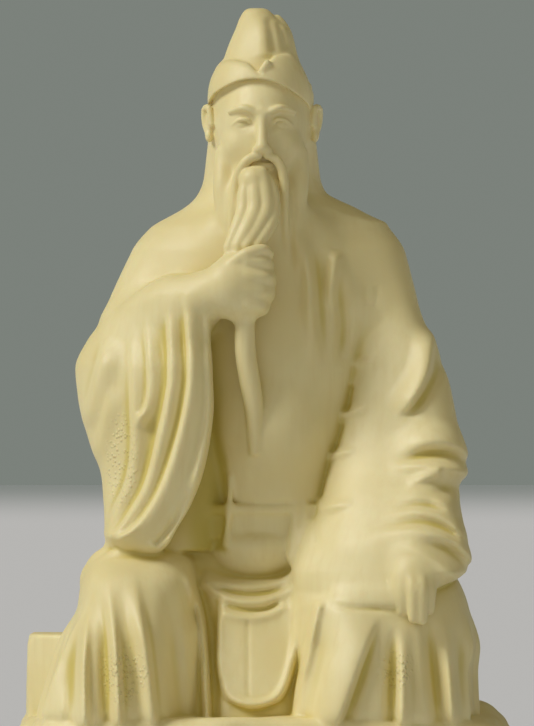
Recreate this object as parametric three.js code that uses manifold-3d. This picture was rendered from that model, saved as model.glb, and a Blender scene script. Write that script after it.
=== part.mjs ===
// A seated figure in a wide-sleeved robe and a tall soft cap, stroking a long beard, on a rock seat
// with a low plinth. The whole is carved from one block of pale boxwood, so it is one closed solid.
//
// The form is built as a field of distances on a grid, as a carver builds it from masses: bodies are
// added and blended, folds are laid on them as ridges and grooves, and the surface where the distance
// is zero is meshed and thinned out. +Z is up and the figure faces -Y.
import * as THREE from "three";
import { mergeVertices } from "three/addons/utils/BufferGeometryUtils.js";
import Module from "manifold-3d";

// Driving dimensions, in millimetres
const FIGURE_HEIGHT = 109; // from the plinth's top to the tip of the cap
const PLINTH_HEIGHT = 11;
const PLINTH_LEDGE = 3; // how far the plinth stands out past the figure's footprint
const PLINTH_EDGE = 2; // rounding of the plinth's upper edge

// Every place and size on the figure is in thousandths of its height. The plinth's own sizes are
// turned into the same units here.
const FIGURE_TALL = 1000;
const UNIT = FIGURE_HEIGHT / FIGURE_TALL;
const PLINTH_TALL = PLINTH_HEIGHT / UNIT;
const LEDGE = PLINTH_LEDGE / UNIT;
const EDGE_ROUND = PLINTH_EDGE / UNIT;

// The figure's footprint on the plinth
const FOOTPRINT = { halfWidth: 334, halfDepth: 250 };

// The carving grid holds the plinth and the figure with some cells to spare all round. Its cells
// shrink towards the head, where the work is finest.
const CELL = 6;
const HEAD_CELL_SHARE = 0.45;
const NARROWING_FROM = 560;
const NARROWING_TO = 760;
const MARGIN = 4 * CELL;
const HALF_WIDTH = FOOTPRINT.halfWidth + LEDGE + MARGIN;
const HALF_DEPTH = FOOTPRINT.halfDepth + LEDGE + 1.5 * MARGIN;
const TOP = FIGURE_TALL + MARGIN;
const UNDERCUT = 3 * CELL; // clay below the plinth's underside, which is sawn off flat
const FAR = 120;
const TRIANGLES = 9800;

const clamp = (v, low, high) => Math.min(high, Math.max(low, v));
const smoothstep = THREE.MathUtils.smoothstep;

function smoothMin(a, b, blend) {
  if (blend <= 0) return Math.min(a, b);
  const h = Math.max(blend - Math.abs(a - b), 0) / blend;
  return Math.min(a, b) - (h * h * blend) / 4;
}
const smoothMax = (a, b, blend) => -smoothMin(-a, -b, blend);

// A smooth curve through keys [t, value, value, ...] that never overshoots them
function spline(keys) {
  const slope = (i, c) => (keys[i + 1][c] - keys[i][c]) / (keys[i + 1][0] - keys[i][0]);
  const tangent = (i, c) => {
    if (i === 0) return slope(0, c);
    if (i === keys.length - 1) return slope(i - 1, c);
    const before = slope(i - 1, c);
    const after = slope(i, c);
    return before * after <= 0 ? 0 : (2 * before * after) / (before + after);
  };
  return (t) => {
    const at = clamp(t, keys[0][0], keys.at(-1)[0]);
    let i = 0;
    while (i < keys.length - 2 && at > keys[i + 1][0]) i++;
    const span = keys[i + 1][0] - keys[i][0];
    const u = (at - keys[i][0]) / span;
    const [u2, u3] = [u * u, u * u * u];
    return keys[i].slice(1).map((value, n) => {
      const c = n + 1;
      return (
        value * (2 * u3 - 3 * u2 + 1) +
        keys[i + 1][c] * (3 * u2 - 2 * u3) +
        span * (tangent(i, c) * (u3 - 2 * u2 + u) + tangent(i + 1, c) * (u3 - u2))
      );
    });
  };
}

// The grid: rows of x and y that narrow with height, and levels of z that come closer together
function makeGrid() {
  const narrowing = (z) => 1 - (1 - HEAD_CELL_SHARE) * smoothstep(z, NARROWING_FROM, NARROWING_TO);
  const levels = [];
  for (let z = -PLINTH_TALL - UNDERCUT - 2 * CELL; z < TOP; z += CELL * narrowing(z)) levels.push(z);
  const across = Math.ceil((2 * HALF_WIDTH) / CELL) + 1;
  const deep = Math.ceil((2 * HALF_DEPTH) / CELL) + 1;
  const scale = levels.map(narrowing);
  return {
    across,
    deep,
    levels,
    scale,
    x: (i, k) => (i - (across - 1) / 2) * CELL * scale[k],
    y: (j, k) => (j - (deep - 1) / 2) * CELL * scale[k],
    index: (i, j, k) => (k * deep + j) * across + i,
    count: across * deep * levels.length,
  };
}
const GRID = makeGrid();

// Solids, each a distance and the box that holds it
const grown = (box, by) => [box[0].map((v) => v - by), box[1].map((v) => v + by)];

function ball(centre, radii) {
  const [cx, cy, cz] = centre;
  const [a, b, c] = radii;
  return {
    box: [centre.map((v, n) => v - radii[n]), centre.map((v, n) => v + radii[n])],
    distance(x, y, z) {
      const [u, v, w] = [(x - cx) / a, (y - cy) / b, (z - cz) / c];
      const near = Math.hypot(u, v, w);
      return (near * (near - 1)) / Math.max(1e-6, Math.hypot(u / a, v / b, w / c));
    },
  };
}

// A limb, lock of hair or finger: a round rope through points, with a radius for each end or point
function rope(points, radii, steps = 10) {
  const curve = new THREE.CatmullRomCurve3(points.map((p) => new THREE.Vector3(...p)));
  const radius = spline(radii.map((r, n) => [n / (radii.length - 1), r]));
  const count = points.length === 2 ? 1 : steps;
  const spots = Array.from({ length: count + 1 }, (_, n) => curve.getPoint(n / count).toArray());
  const widths = spots.map((_, n) => radius(n / count)[0]);
  const most = Math.max(...radii);
  const box = [0, 1].map((side) =>
    [0, 1, 2].map((c) =>
      side ? Math.max(...spots.map((p) => p[c])) + most : Math.min(...spots.map((p) => p[c])) - most,
    ),
  );
  return {
    box,
    distance(x, y, z) {
      let best = FAR;
      for (let n = 0; n < count; n++) {
        const [p, q] = [spots[n], spots[n + 1]];
        const [dx, dy, dz] = [q[0] - p[0], q[1] - p[1], q[2] - p[2]];
        const along = (x - p[0]) * dx + (y - p[1]) * dy + (z - p[2]) * dz;
        const t = clamp(along / (dx * dx + dy * dy + dz * dz), 0, 1);
        const gap = Math.hypot(x - p[0] - t * dx, y - p[1] - t * dy, z - p[2] - t * dz);
        best = Math.min(best, gap - widths[n] - t * (widths[n + 1] - widths[n]));
      }
      return best;
    },
  };
}

// A body swept upwards through oval sections. Each key is [z, centre x, centre y, half width, half
// depth]. Power 2 is an ellipse and more is squarer. Skew slides each section's depth along its width.
function loft(keys, { power = 2, skew = 0, round = 12 } = {}) {
  const section = spline(keys);
  const [bottom, top] = [keys[0][0], keys.at(-1)[0]];
  const lean = [0, 0, Math.abs(skew)];
  const reach = (side, c, half) => keys.map((k) => k[c] + side * (k[half] + lean[c] * k[3]));
  let level = NaN;
  let now = [];
  return {
    box: [
      [Math.min(...reach(-1, 1, 3)), Math.min(...reach(-1, 2, 4)), bottom],
      [Math.max(...reach(1, 1, 3)), Math.max(...reach(1, 2, 4)), top],
    ],
    distance(x, y, z) {
      if (z !== level) {
        level = z;
        now = section(z);
      }
      const [cx, cy, a, b] = now;
      const u = Math.abs(x - cx) / a;
      const v = Math.abs(y - cy - skew * (x - cx)) / b;
      const near = Math.pow(Math.pow(u, power) + Math.pow(v, power), 1 / power);
      const steepness = Math.hypot(Math.pow(u, power - 1) / a, Math.pow(v, power - 1) / b);
      const sideways = near < 1e-3 ? -Math.min(a, b) : ((near - 1) * Math.pow(near, power - 1)) / steepness;
      return smoothMax(sideways, Math.max(bottom - z, z - top), round);
    },
  };
}

function block(centre, half, round) {
  return {
    box: [centre.map((v, n) => v - half[n]), centre.map((v, n) => v + half[n])],
    distance(x, y, z) {
      const q = [x - centre[0], y - centre[1], z - centre[2]].map((v, n) => Math.abs(v) - half[n] + round);
      return Math.hypot(...q.map((v) => Math.max(v, 0))) + Math.min(Math.max(...q), 0) - round;
    },
  };
}

// Clay on the grid: solids are added to it or cut from it, and reliefs are carved on it
class Clay {
  constructor() {
    this.field = new Float32Array(GRID.count).fill(FAR);
  }

  visit([low, high], change) {
    for (let k = 0; k < GRID.levels.length; k++) {
      const z = GRID.levels[k];
      if (z < low[2] || z > high[2]) continue;
      const step = CELL * GRID.scale[k];
      const [ci, cj] = [(GRID.across - 1) / 2, (GRID.deep - 1) / 2];
      const i0 = Math.max(0, Math.ceil(low[0] / step + ci));
      const i1 = Math.min(GRID.across - 1, Math.floor(high[0] / step + ci));
      const j0 = Math.max(0, Math.ceil(low[1] / step + cj));
      const j1 = Math.min(GRID.deep - 1, Math.floor(high[1] / step + cj));
      for (let j = j0; j <= j1; j++) {
        const y = GRID.y(j, k);
        for (let i = i0; i <= i1; i++) {
          const n = GRID.index(i, j, k);
          this.field[n] = change(this.field[n], GRID.x(i, k), y, z, i, j, k);
        }
      }
    }
    return this;
  }

  // Adds a body; its distance is kept this far around it for a later blend
  add(solid, blend = 0, around = 0) {
    const box = grown(solid.box, 3 * CELL + blend + around);
    return this.visit(box, (old, x, y, z) => smoothMin(old, solid.distance(x, y, z), blend));
  }

  cut(solid, blend = 0) {
    const box = grown(solid.box, CELL + blend);
    return this.visit(box, (old, x, y, z) => smoothMax(old, -solid.distance(x, y, z), blend));
  }

  // Adds other clay; the blend is a function of the height
  join(other, blend) {
    for (let k = 0; k < GRID.levels.length; k++) {
      const amount = blend(GRID.levels[k]);
      const first = GRID.index(0, 0, k);
      for (let n = first; n < first + GRID.across * GRID.deep; n++) {
        this.field[n] = smoothMin(this.field[n], other.field[n], amount);
      }
    }
    return this;
  }

  // Pulls the surface towards the viewer of the relief by its height, where share(x, y, z) is 1, so
  // that each fold stays where it is drawn. Lean is the part of the height that goes outwards instead,
  // square to the surface, and so shows in the outline.
  carve(relief, share, lean = 0) {
    const front = relief.view === "front";
    const [rows, columns] = front ? [GRID.deep, GRID.across] : [GRID.across, GRID.deep];
    const spot = (c, r, k) => (front ? GRID.index(c, r, k) : GRID.index(r, c, k));
    const away = relief.view === "front" ? 1 : 0;
    const old = new Float32Array(rows);
    for (let k = relief.low; k <= relief.high; k++) {
      const step = CELL * GRID.scale[k];
      for (let c = 0; c < columns; c++) {
        const height = relief.heights[k * columns + c];
        if (height === 0) continue;
        for (let r = 0; r < rows; r++) old[r] = this.field[spot(c, r, k)];
        for (let r = 0; r < rows; r++) {
          const [x, y] = front ? [GRID.x(c, k), GRID.y(r, k)] : [GRID.x(r, k), GRID.y(c, k)];
          const lift = height * share(x, y, GRID.levels[k]);
          const outwards = away || x < 0 ? 1 : -1;
          const from = clamp(r + (outwards * lift * (1 - lean)) / step, 0, rows - 1.001);
          const whole = Math.floor(from);
          const between = old[whole] + (from - whole) * (old[whole + 1] - old[whole]);
          this.field[spot(c, r, k)] = between - lift * lean;
        }
      }
    }
    return this;
  }
}

// A drawing of heights on the front view (along x) or the side view (along y), over z
class Relief {
  constructor(view) {
    this.view = view;
    this.columns = view === "front" ? GRID.across : GRID.deep;
    this.heights = new Float32Array(this.columns * GRID.levels.length);
    this.low = GRID.levels.length;
    this.high = -1;
  }

  draw(low, high, height) {
    for (let k = 0; k < GRID.levels.length; k++) {
      const z = GRID.levels[k];
      if (z < low || z > high) continue;
      this.low = Math.min(this.low, k);
      this.high = Math.max(this.high, k);
      for (let c = 0; c < this.columns; c++) {
        const x = this.view === "front" ? GRID.x(c, k) : GRID.y(c, k);
        this.heights[k * this.columns + c] += height(x, z);
      }
    }
    return this;
  }

  // Draws along a curve: profile(offset) is the height across it, where an offset above 0 is on
  // the right of someone walking the curve. The height fades out over a share of each end.
  stroke(points, reach, [start, end], profile) {
    const curve = new THREE.SplineCurve(points.map((p) => new THREE.Vector2(...p)));
    const steps = 4 * (points.length - 1);
    const spots = Array.from({ length: steps + 1 }, (_, n) => curve.getPoint(n / steps));
    const [left, right] = [Math.min, Math.max].map((pick) => pick(...spots.map((p) => p.x)));
    const [low, high] = [Math.min, Math.max].map((pick) => pick(...spots.map((p) => p.y)));
    const taper = (t) => (start ? smoothstep(t, 0, start) : 1) * (end ? smoothstep(1 - t, 0, end) : 1);
    return this.draw(low - reach, high + reach, (x, z) => {
      if (x < left - reach || x > right + reach) return 0;
      let best = Infinity;
      let [place, side] = [0, 0];
      for (let n = 0; n < steps; n++) {
        const [p, q] = [spots[n], spots[n + 1]];
        const [dx, dz] = [q.x - p.x, q.y - p.y];
        const t = clamp(((x - p.x) * dx + (z - p.y) * dz) / (dx * dx + dz * dz), 0, 1);
        const gap = (x - p.x - t * dx) ** 2 + (z - p.y - t * dz) ** 2;
        if (gap >= best) continue;
        [best, place, side] = [gap, (n + t) / steps, Math.sign((x - p.x) * dz - (z - p.y) * dx)];
      }
      return best > reach * reach ? 0 : taper(place) * profile(side * Math.sqrt(best));
    });
  }

  // A ridge (height above 0) or a groove (below 0)
  fold(points, width, height, ends = [0.3, 0.15]) {
    return this.stroke(points, 2.6 * width, ends, (offset) => height * Math.exp(-((offset / width) ** 2)));
  }

  // A ridge that falls steeply on the left of its curve and gently on the right
  pleat(points, steep, gentle, height, ends = [0.3, 0.15]) {
    const slope = (offset) => {
      return offset < 0 ? Math.exp(-((offset / steep) ** 2)) : 1 - smoothstep(offset, 0, gentle);
    };
    return this.stroke(points, Math.max(2.6 * steep, gentle), ends, (offset) => height * slope(offset));
  }
}

// Shares that keep a relief to the front, the back or a flank of the figure
const infront = (full, none) => (x, y) => 1 - smoothstep(y, full, none);
const behind = (full, none) => (x, y) => smoothstep(y, none, full);

// The plinth follows the figure's footprint at one ledge's distance, with a rough-hewn rim
function plinth() {
  const [a, b] = [FOOTPRINT.halfWidth + LEDGE, FOOTPRINT.halfDepth + LEDGE];
  const power = 3.4;
  const bottom = -PLINTH_TALL - UNDERCUT;
  return {
    box: [
      [-a, -b, bottom],
      [a, b, 0],
    ],
    distance(x, y, z) {
      const turn = Math.atan2(y / b, x / a);
      const hewn = 3 * Math.sin(5 * turn + 0.6) + 2.2 * Math.sin(11 * turn + 2) + 1.6 * Math.sin(17 * turn);
      const waist = 5 * Math.sin(Math.PI * clamp(-z / PLINTH_TALL, 0, 1));
      const near = Math.pow(Math.pow(Math.abs(x) / a, power) + Math.pow(Math.abs(y) / b, power), 1 / power);
      const sideways = (near - 1) * Math.min(a, b) * 1.1 - hewn + 7 + waist;
      const wavy = 2.5 * Math.sin(x / 26) * Math.sin(y / 31 + 1);
      return smoothMax(sideways, Math.max(z - wavy, bottom - z), 2 * EDGE_ROUND);
    },
  };
}

// The rock seat, whose left end shows beside the robe, and the low mound at the right
function seat(clay) {
  const body = block([-40, 130, 44], [298, 106, 60], 8);
  const hewn = (x, y, z) => 4 * Math.sin(x / 43 + y / 71) * Math.sin(z / 25 + x / 90);
  const chips = (x, z) => 3 * Math.sin(x / 19 + z / 31);
  const rock = {
    box: body.box,
    distance: (x, y, z) => body.distance(x, y, z) - (hewn(x, y, z) + chips(x, z)) * smoothstep(y, 20, 120),
  };
  clay.add(rock, 4);
  // Its left end is a face turned half to the side
  const end = [
    [-20, -250, 36, 88, 84],
    [112, -250, 36, 87, 84],
  ];
  clay.add(loft(end, { power: 9, skew: -0.8, round: 6 }), 6);
  clay.add(ball([300, 50, -20], [44, 140, 38]), 10);
  clay.add(ball([60, 222, 8], [220, 46, 46]), 16);
  return clay;
}

// The robed trunk, from the hips to the neck
function trunk(clay) {
  const sections = [
    [0, 0, 72, 252, 172],
    [120, 0, 72, 234, 164],
    [200, 0, 68, 206, 154],
    [275, 3, 56, 160, 136],
    [340, 6, 48, 150, 144],
    [430, 6, 40, 150, 148],
    [520, 2, 36, 168, 142],
    [600, 0, 36, 194, 132],
    [655, 4, 36, 190, 116],
    [690, 6, 38, 168, 100],
    [716, 10, 40, 127, 86],
    [742, -1, 38, 90, 74],
    [775, -2, 28, 72, 62],
    [810, -2, 24, 64, 60],
  ];
  clay.add(loft(sections, { power: 2.3 }));
  // The belly under its coat, and the breast that the beard lies on
  const coat = [
    [298, 14, 30, 110, 138],
    [390, 14, 30, 114, 150],
    [520, 10, 34, 132, 142],
    [600, 4, 36, 146, 124],
  ];
  clay.add(loft(coat, { power: 2.3 }), 6);
  clay.add(ball([10, -30, 400], [80, 100, 84]), 30);
  clay.add(ball([0, -48, 668], [92, 44, 70]), 30);
  // The hollow between the belly and the raised sleeve
  clay.cut(rope([[-58, -140, 556], [-56, -140, 420], [-58, -136, 262]], [24, 30, 28]), 14);
  return clay;
}

// The knees and the skirts that fall from them
function legs(clay) {
  const right = [
    [-14, -198, -85, 120, 168],
    [0, -197, -85, 118, 168],
    [60, -190, -84, 108, 160],
    [114, -184, -80, 98, 152],
    [154, -180, -74, 85, 140],
    [188, -177, -66, 83, 126],
    [212, -174, -58, 76, 106],
    [230, -170, -50, 64, 78],
    [242, -166, -46, 44, 54],
  ];
  const left = [
    [-14, 171, -88, 130, 170],
    [0, 171, -88, 129, 170],
    [64, 173, -86, 124, 163],
    [104, 178, -84, 123, 157],
    [154, 178, -80, 114, 154],
    [186, 180, -74, 100, 142],
    [208, 182, -60, 80, 114],
    [224, 178, -50, 48, 66],
  ];
  clay.add(loft(right, { power: 2.5, skew: 0.06, round: 26 }), 24);
  clay.add(loft(left, { power: 3.3, skew: 0.08, round: 26 }), 24);
  // The lap and the cloth that falls between the knees
  const lap = [
    [-14, -10, -84, 122, 116],
    [60, -10, -72, 118, 94],
    [120, -8, -62, 112, 76],
    [160, -8, -56, 106, 68],
    [192, -8, -52, 94, 60],
  ];
  clay.add(loft(lap, { power: 3, round: 16 }), 16);
  return clay;
}

function skirtFolds() {
  const folds = new Relief("front");
  const hem = -30;
  // Over the figure's right knee: the rolled inner edge and the hollow beside it, then folds that
  // fade in below the knee
  folds.pleat([[-78, hem], [-83, 75], [-88, 132], [-99, 175], [-112, 206]], 7, 9, 24, [0, 0.3]);
  folds.fold([[-92, 190], [-76, 140], [-69, 75], [-66, hem]], 9, -10, [0.3, 0]);
  folds.fold([[-140, 196], [-130, 130], [-123, 60], [-114, hem]], 14, -22, [0.5, 0]);
  folds.pleat([[-186, 212], [-176, 150], [-165, 90], [-152, hem]], 8, 22, 25, [0.5, 0]);
  folds.pleat([[-222, 196], [-212, 130], [-206, 60], [-202, hem]], 8, 18, 24, [0.5, 0]);
  folds.fold([[-230, 180], [-226, 120], [-225, 60], [-222, hem]], 9, -16, [0.5, 0]);
  folds.pleat([[-252, 180], [-252, 120], [-254, 60], [-251, hem]], 8, 16, 23, [0.5, 0]);
  folds.fold([[-266, 160], [-270, 100], [-273, 60], [-276, hem]], 9, -16, [0.5, 0]);
  folds.fold([[-280, 140], [-296, 50], [-311, hem]], 9, 13, [0.5, 0]);
  // The same over the left knee, under the sleeve's hem
  folds.pleat([[80, 168], [72, 140], [62, 90], [50, 40], [44, hem]], 8, 9, 22, [0.15, 0]);
  folds.fold([[56, 140], [48, 95], [38, 50], [28, hem]], 9, -5, [0.3, 0]);
  folds.fold([[96, 150], [76, 60], [60, hem]], 10, -9, [0.5, 0]);
  folds.pleat([[158, 146], [146, 108], [128, 60], [96, hem]], 8, 66, 24, [0.5, 0]);
  folds.fold([[160, 130], [138, 50], [108, hem]], 8, -8, [0.5, 0]);
  folds.fold([[186, 130], [182, 70], [178, hem]], 9, -16, [0.5, 0]);
  folds.pleat([[196, hem], [195, 60], [193, 140]], 8, 20, 18, [0, 0.5]);
  folds.fold([[232, 150], [240, 80], [250, hem]], 10, -21, [0.5, 0]);
  folds.pleat([[270, hem], [264, 60], [254, 150]], 8, 16, 18, [0, 0.5]);
  folds.fold([[276, 140], [290, hem]], 9, -13, [0.5, 0]);
  return folds;
}

// The apron between the knees: a panel with a rounded foot, a rolled border and a middle seam
function apron(folds) {
  const half = spline([[12, 20], [24, 38], [48, 50], [90, 58], [155, 58]]);
  const middle = spline([[12, -14], [90, -8], [155, -4]]);
  folds.draw(0, 190, (x, z) => {
    const edge = Math.abs(x - middle(z)[0]) - half(z)[0];
    const out = smoothMax(edge, 12 - z, 20);
    return 14 * smoothstep(-out, -6, 6) * (1 - smoothstep(z, 150, 180));
  });
  const border = [[58, 172], [54, 146], [44, 97], [31, 48], [14, 26], [-14, 19], [-40, 26], [-58, 46]];
  folds.fold(border, 6.5, 9, [0.1, 0.3]);
  folds.fold([[-62, 148], [-64, 90], [-62, 50]], 5, 4, [0.2, 0.2]);
  folds.fold([[-22, 138], [-22, 24]], 5, -6, [0.1, 0.1]);
  return folds;
}

// The sash bulges under the belt
function sash(clay) {
  const bulge = ball([-8, -50, 240], [72, 68, 56]);
  const distance = (x, y, z) => smoothMax(bulge.distance(x, y, z), z - 254, 6);
  return clay.add({ box: bulge.box, distance }, 5);
}

// Two swags of cloth that hang across the lap, and the gap under them
function swags() {
  const folds = new Relief("front");
  const upper = [[-90, 204], [-73, 195], [-51, 186], [-20, 181], [12, 185], [40, 197], [56, 210]];
  folds.fold(upper, 7, 10, [0.15, 0.15]);
  const lower = [[-90, 190], [-77, 183], [-64, 174], [-41, 165], [-17, 162], [7, 165], [34, 177], [56, 194]];
  folds.fold(lower, 8, 13, [0.1, 0.15]);
  folds.fold([[-58, 160], [-41, 152], [-17, 149], [8, 152], [28, 164]], 6, -9, [0.2, 0.2]);
  return folds;
}

// The line where the left sleeve ends over the knee
function hemLine() {
  const folds = new Relief("front");
  return folds.fold([[84, 162], [116, 155], [150, 153], [196, 152]], 6, -7, [0.4, 0.3]);
}

// A broad belt with a raised upper edge, and the ends of its ties at the side
function belt(clay) {
  const ring = (z, tall, out) => {
    const section = [6, 48, 156 + out, 143 + out];
    return loft([[z - tall, ...section], [z + tall, ...section]], { power: 2.3, round: 6 });
  };
  clay.add(ring(275, 22, 4), 3);
  clay.add(ring(291, 8, 12), 3);
  clay.add(rope([[46, -100, 300], [47, -106, 268], [42, -114, 226]], [7, 8, 7]), 4);
  clay.add(rope([[58, -96, 300], [59, -101, 268], [56, -108, 222]], [7, 8, 7]), 4);
  return clay;
}

function chestFolds() {
  const folds = new Relief("front");
  // Two tucks of the robe that run down from the breast to the left sleeve
  folds.fold([[56, 684], [62, 650], [67, 612], [68, 570], [76, 500]], 9, 8, [0.3, 0.3]);
  folds.fold([[74, 674], [78, 635], [83, 600], [85, 550], [90, 490]], 9, -10, [0.3, 0.35]);
  folds.fold([[104, 656], [102, 641], [96, 602], [93, 575]], 9, 9, [0.3, 0.5]);
  folds.fold([[106, 630], [112, 580], [113, 540], [106, 490]], 10, -11, [0.35, 0.3]);
  // The robe's collar crosses the breast behind the beard
  folds.fold([[56, 738], [46, 690], [48, 640], [44, 600]], 7, 5, [0.1, 0.5]);
  folds.fold([[-62, 748], [-63, 710], [-60, 680]], 5, -4, [0.2, 0.4]);
  return folds;
}

// The figure's right arm is raised to the beard, and its wide sleeve hangs from it
function rightArm(clay) {
  clay.add(rope([[-92, 44, 652], [-144, 22, 606], [-176, -12, 546]], [58, 60, 57]), 22);
  clay.add(rope([[-178, -22, 534], [-124, -90, 566], [-70, -136, 598]], [56, 48, 30]), 18);
  // The inner side of the sleeve, seen in its mouth, and its edge against the belly
  const lining = [
    [232, -138, -24, 78, 84],
    [262, -138, -22, 81, 84],
    [310, -134, -18, 88, 86],
    [420, -134, -16, 92, 84],
    [520, -134, -14, 86, 80],
    [585, -122, -24, 64, 62],
  ];
  clay.add(loft(lining, { power: 2.8, round: 6 }), 8);
  clay.add(rope([[-47, -100, 330], [-49, -104, 290], [-54, -102, 244]], [6, 8, 8]), 8);
  return clay;
}

function rightSleeve() {
  const clay = new Clay();
  const sections = [
    [229, -182, -114, 36, 26],
    [242, -180, -115, 44, 37],
    [264, -175, -112, 51, 42],
    [300, -165, -106, 63, 45],
    [345, -159, -94, 74, 54],
    [390, -163, -86, 87, 58],
    [448, -168, -80, 97, 60],
    [490, -171, -74, 98, 60],
    [530, -164, -68, 88, 56],
    [566, -146, -78, 74, 50],
    [600, -124, -98, 52, 44],
    [622, -112, -100, 34, 34],
  ];
  clay.add(loft(sections, { power: 2.6, skew: -0.6 }));
  const folds = new Relief("front");
  // Overlapping pleats, each steep on its left, from the sleeve's mouth outwards
  folds.fold([[-80, 592], [-76, 440], [-88, 362], [-114, 284], [-140, 236]], 7, 10, [0.1, 0.1]);
  folds.fold([[-96, 340], [-108, 304], [-132, 266], [-156, 240]], 7, -10, [0.3, 0.1]);
  const first = [
    [-214, 246], [-185, 262], [-163, 287], [-141, 327],
    [-119, 394], [-107, 450], [-104, 500], [-112, 612],
  ];
  folds.pleat(first, 6, 28, 19, [0.08, 0.1]);
  const second = [
    [-226, 250], [-205, 262], [-187, 287], [-165, 327],
    [-147, 394], [-136, 445], [-131, 490], [-136, 600],
  ];
  folds.pleat(second, 6, 25, 19, [0.08, 0.1]);
  // The inner fold that hooks round into the third pleat
  folds.pleat([[-182, 424], [-172, 424], [-164, 442], [-161, 482], [-168, 570]], 5, 20, 13, [0.2, 0.2]);
  const third = [[-230, 252], [-220, 264], [-210, 290], [-192, 330], [-184, 376], [-185, 438], [-188, 560]];
  folds.pleat(third, 6, 26, 17, [0.12, 0.2]);
  // Broad folds that round the outer side
  folds.pleat([[-256, 404], [-240, 466], [-220, 540]], 8, 32, 15, [0.3, 0.3]);
  folds.pleat([[-250, 350], [-228, 410], [-212, 470]], 8, 22, 10, [0.3, 0.4]);
  clay.carve(folds, infront(20, 90), 0.15);
  // The sleeve's tip curls over the thigh
  const tip = [[-200, -98, 238], [-228, -84, 217], [-246, -72, 198], [-250, -66, 184]];
  clay.add(rope(tip, [16, 16, 14, 9]), 10);
  const edge = [[-178, -130, 243], [-204, -124, 229], [-226, -112, 210], [-236, -100, 192]];
  clay.add(rope(edge, [8, 10, 9, 6]), 4);
  return clay;
}

// The left arm hangs outwards and its wide sleeve lies over the left thigh and knee
function leftSleeve() {
  const clay = new Clay();
  const sections = [
    [150, 156, -196, 40, 34],
    [158, 153, -186, 58, 48],
    [176, 156, -166, 82, 68],
    [192, 164, -150, 104, 81],
    [207, 171, -138, 119, 91],
    [250, 173, -112, 109, 102],
    [300, 176, -80, 102, 102],
    [346, 180, -54, 106, 98],
    [391, 184, -36, 96, 92],
    [459, 185, -20, 82, 86],
    [516, 178, -2, 72, 80],
    [562, 160, 14, 68, 74],
    [609, 146, 28, 67, 70],
    [655, 128, 40, 64, 66],
    [690, 106, 50, 60, 54],
  ];
  clay.add(loft(sections, { power: 2.7, skew: -0.3, round: 6 }), 0, 50);
  const folds = new Relief("front");
  // Overlapping pleats that run in from the outer side, each steep below its edge
  folds.pleat([[241, 552], [239, 520], [230, 480], [208, 443], [184, 424]], 7, 34, 18, [0.25, 0.3]);
  folds.fold([[252, 510], [246, 480], [226, 444], [198, 416]], 8, -10, [0.25, 0.35]);
  const upper = [
    [310, 352], [292, 370], [281, 379], [263, 387],
    [242, 389], [217, 384], [199, 373], [180, 364],
  ];
  folds.pleat(upper, 8, 34, 17, [0, 0.45]);
  folds.fold([[310, 352], [290, 362], [265, 370], [236, 371], [206, 364], [180, 362]], 7, -10, [0, 0.4]);
  folds.pleat([[310, 330], [281, 344], [263, 349], [235, 353], [200, 353], [176, 352]], 6, 12, 11, [0, 0.4]);
  folds.pleat([[256, 345], [245, 342], [224, 335], [202, 327]], 6, 12, 9, [0.3, 0.4]);
  folds.fold([[310, 330], [266, 322], [242, 316], [218, 311]], 11, -14, [0, 0.4]);
  const third = [
    [308, 240], [290, 258], [281, 270], [270, 286],
    [252, 303], [235, 310], [206, 306], [186, 299],
  ];
  folds.pleat(third, 6, 20, 13, [0, 0.35]);
  const fourth = [
    [308, 216], [292, 238], [277, 260], [256, 278],
    [238, 286], [213, 289], [185, 284], [164, 276],
  ];
  folds.pleat(fourth, 6, 12, 13, [0, 0.35]);
  const fifth = [
    [308, 200], [284, 232], [270, 245], [249, 255],
    [224, 261], [199, 262], [170, 258], [150, 250],
  ];
  folds.pleat(fifth, 6, 12, 14, [0, 0.35]);
  folds.fold([[306, 190], [277, 224], [259, 238], [238, 245], [214, 246]], 8, -13, [0, 0.4]);
  const cuff = [[286, 176], [277, 187], [267, 199], [245, 217], [224, 231], [204, 239], [180, 240]];
  folds.fold(cuff, 9, 9, [0.1, 0.35]);
  // The rim along the inner side, the pockets behind it and the creases between them
  const rim = [
    [122, 510], [118, 480], [113, 452], [100, 416], [89, 395],
    [79, 362], [68, 330], [62, 300], [60, 262],
  ];
  folds.fold(rim, 5, 11, [0.1, 0.15]);
  const pockets = [
    [[124, 470], [121, 449], [117, 426]],
    [[110, 415], [103, 394], [95, 370]],
    [[90, 363], [84, 334], [78, 304]],
  ];
  for (const pocket of pockets) folds.fold(pocket, 6, -15, [0.25, 0.25]);
  folds.fold([[108, 424], [126, 429], [152, 438]], 6, 7, [0.1, 0.5]);
  folds.fold([[90, 367], [110, 371], [134, 377]], 6, 7, [0.1, 0.5]);
  folds.fold([[78, 291], [98, 296], [130, 303]], 7, 8, [0.1, 0.5]);
  folds.fold([[118, 500], [140, 498], [176, 502]], 8, 5, [0.2, 0.5]);
  clay.carve(folds, infront(50, 130), 0.4);
  return clay;
}

// The hand that holds the beard, closed in front of the breast with its back to the front
function rightHand(clay) {
  clay.add(rope([[-84, -126, 598], [-54, -142, 606]], [27, 33]), 12);
  clay.add(ball([-38, -140, 606], [40, 36, 49]), 12);
  clay.add(ball([-20, -134, 608], [36, 34, 47]), 10);
  const knuckles = [
    [641, 0],
    [619, -2],
    [597, 2],
    [577, 9],
  ];
  for (const [z, inward] of knuckles) {
    const finger = [[-22, -164, z + 3], [1 - inward, -159, z], [6 - inward, -136, z - 3]];
    clay.add(rope(finger, [8, 11, 11]), 5);
  }
  clay.add(rope([[-44, -158, 640], [-24, -164, 653], [-2, -158, 658], [8, -146, 652]], [9, 9, 9, 7]), 5);
  return clay;
}

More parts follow.
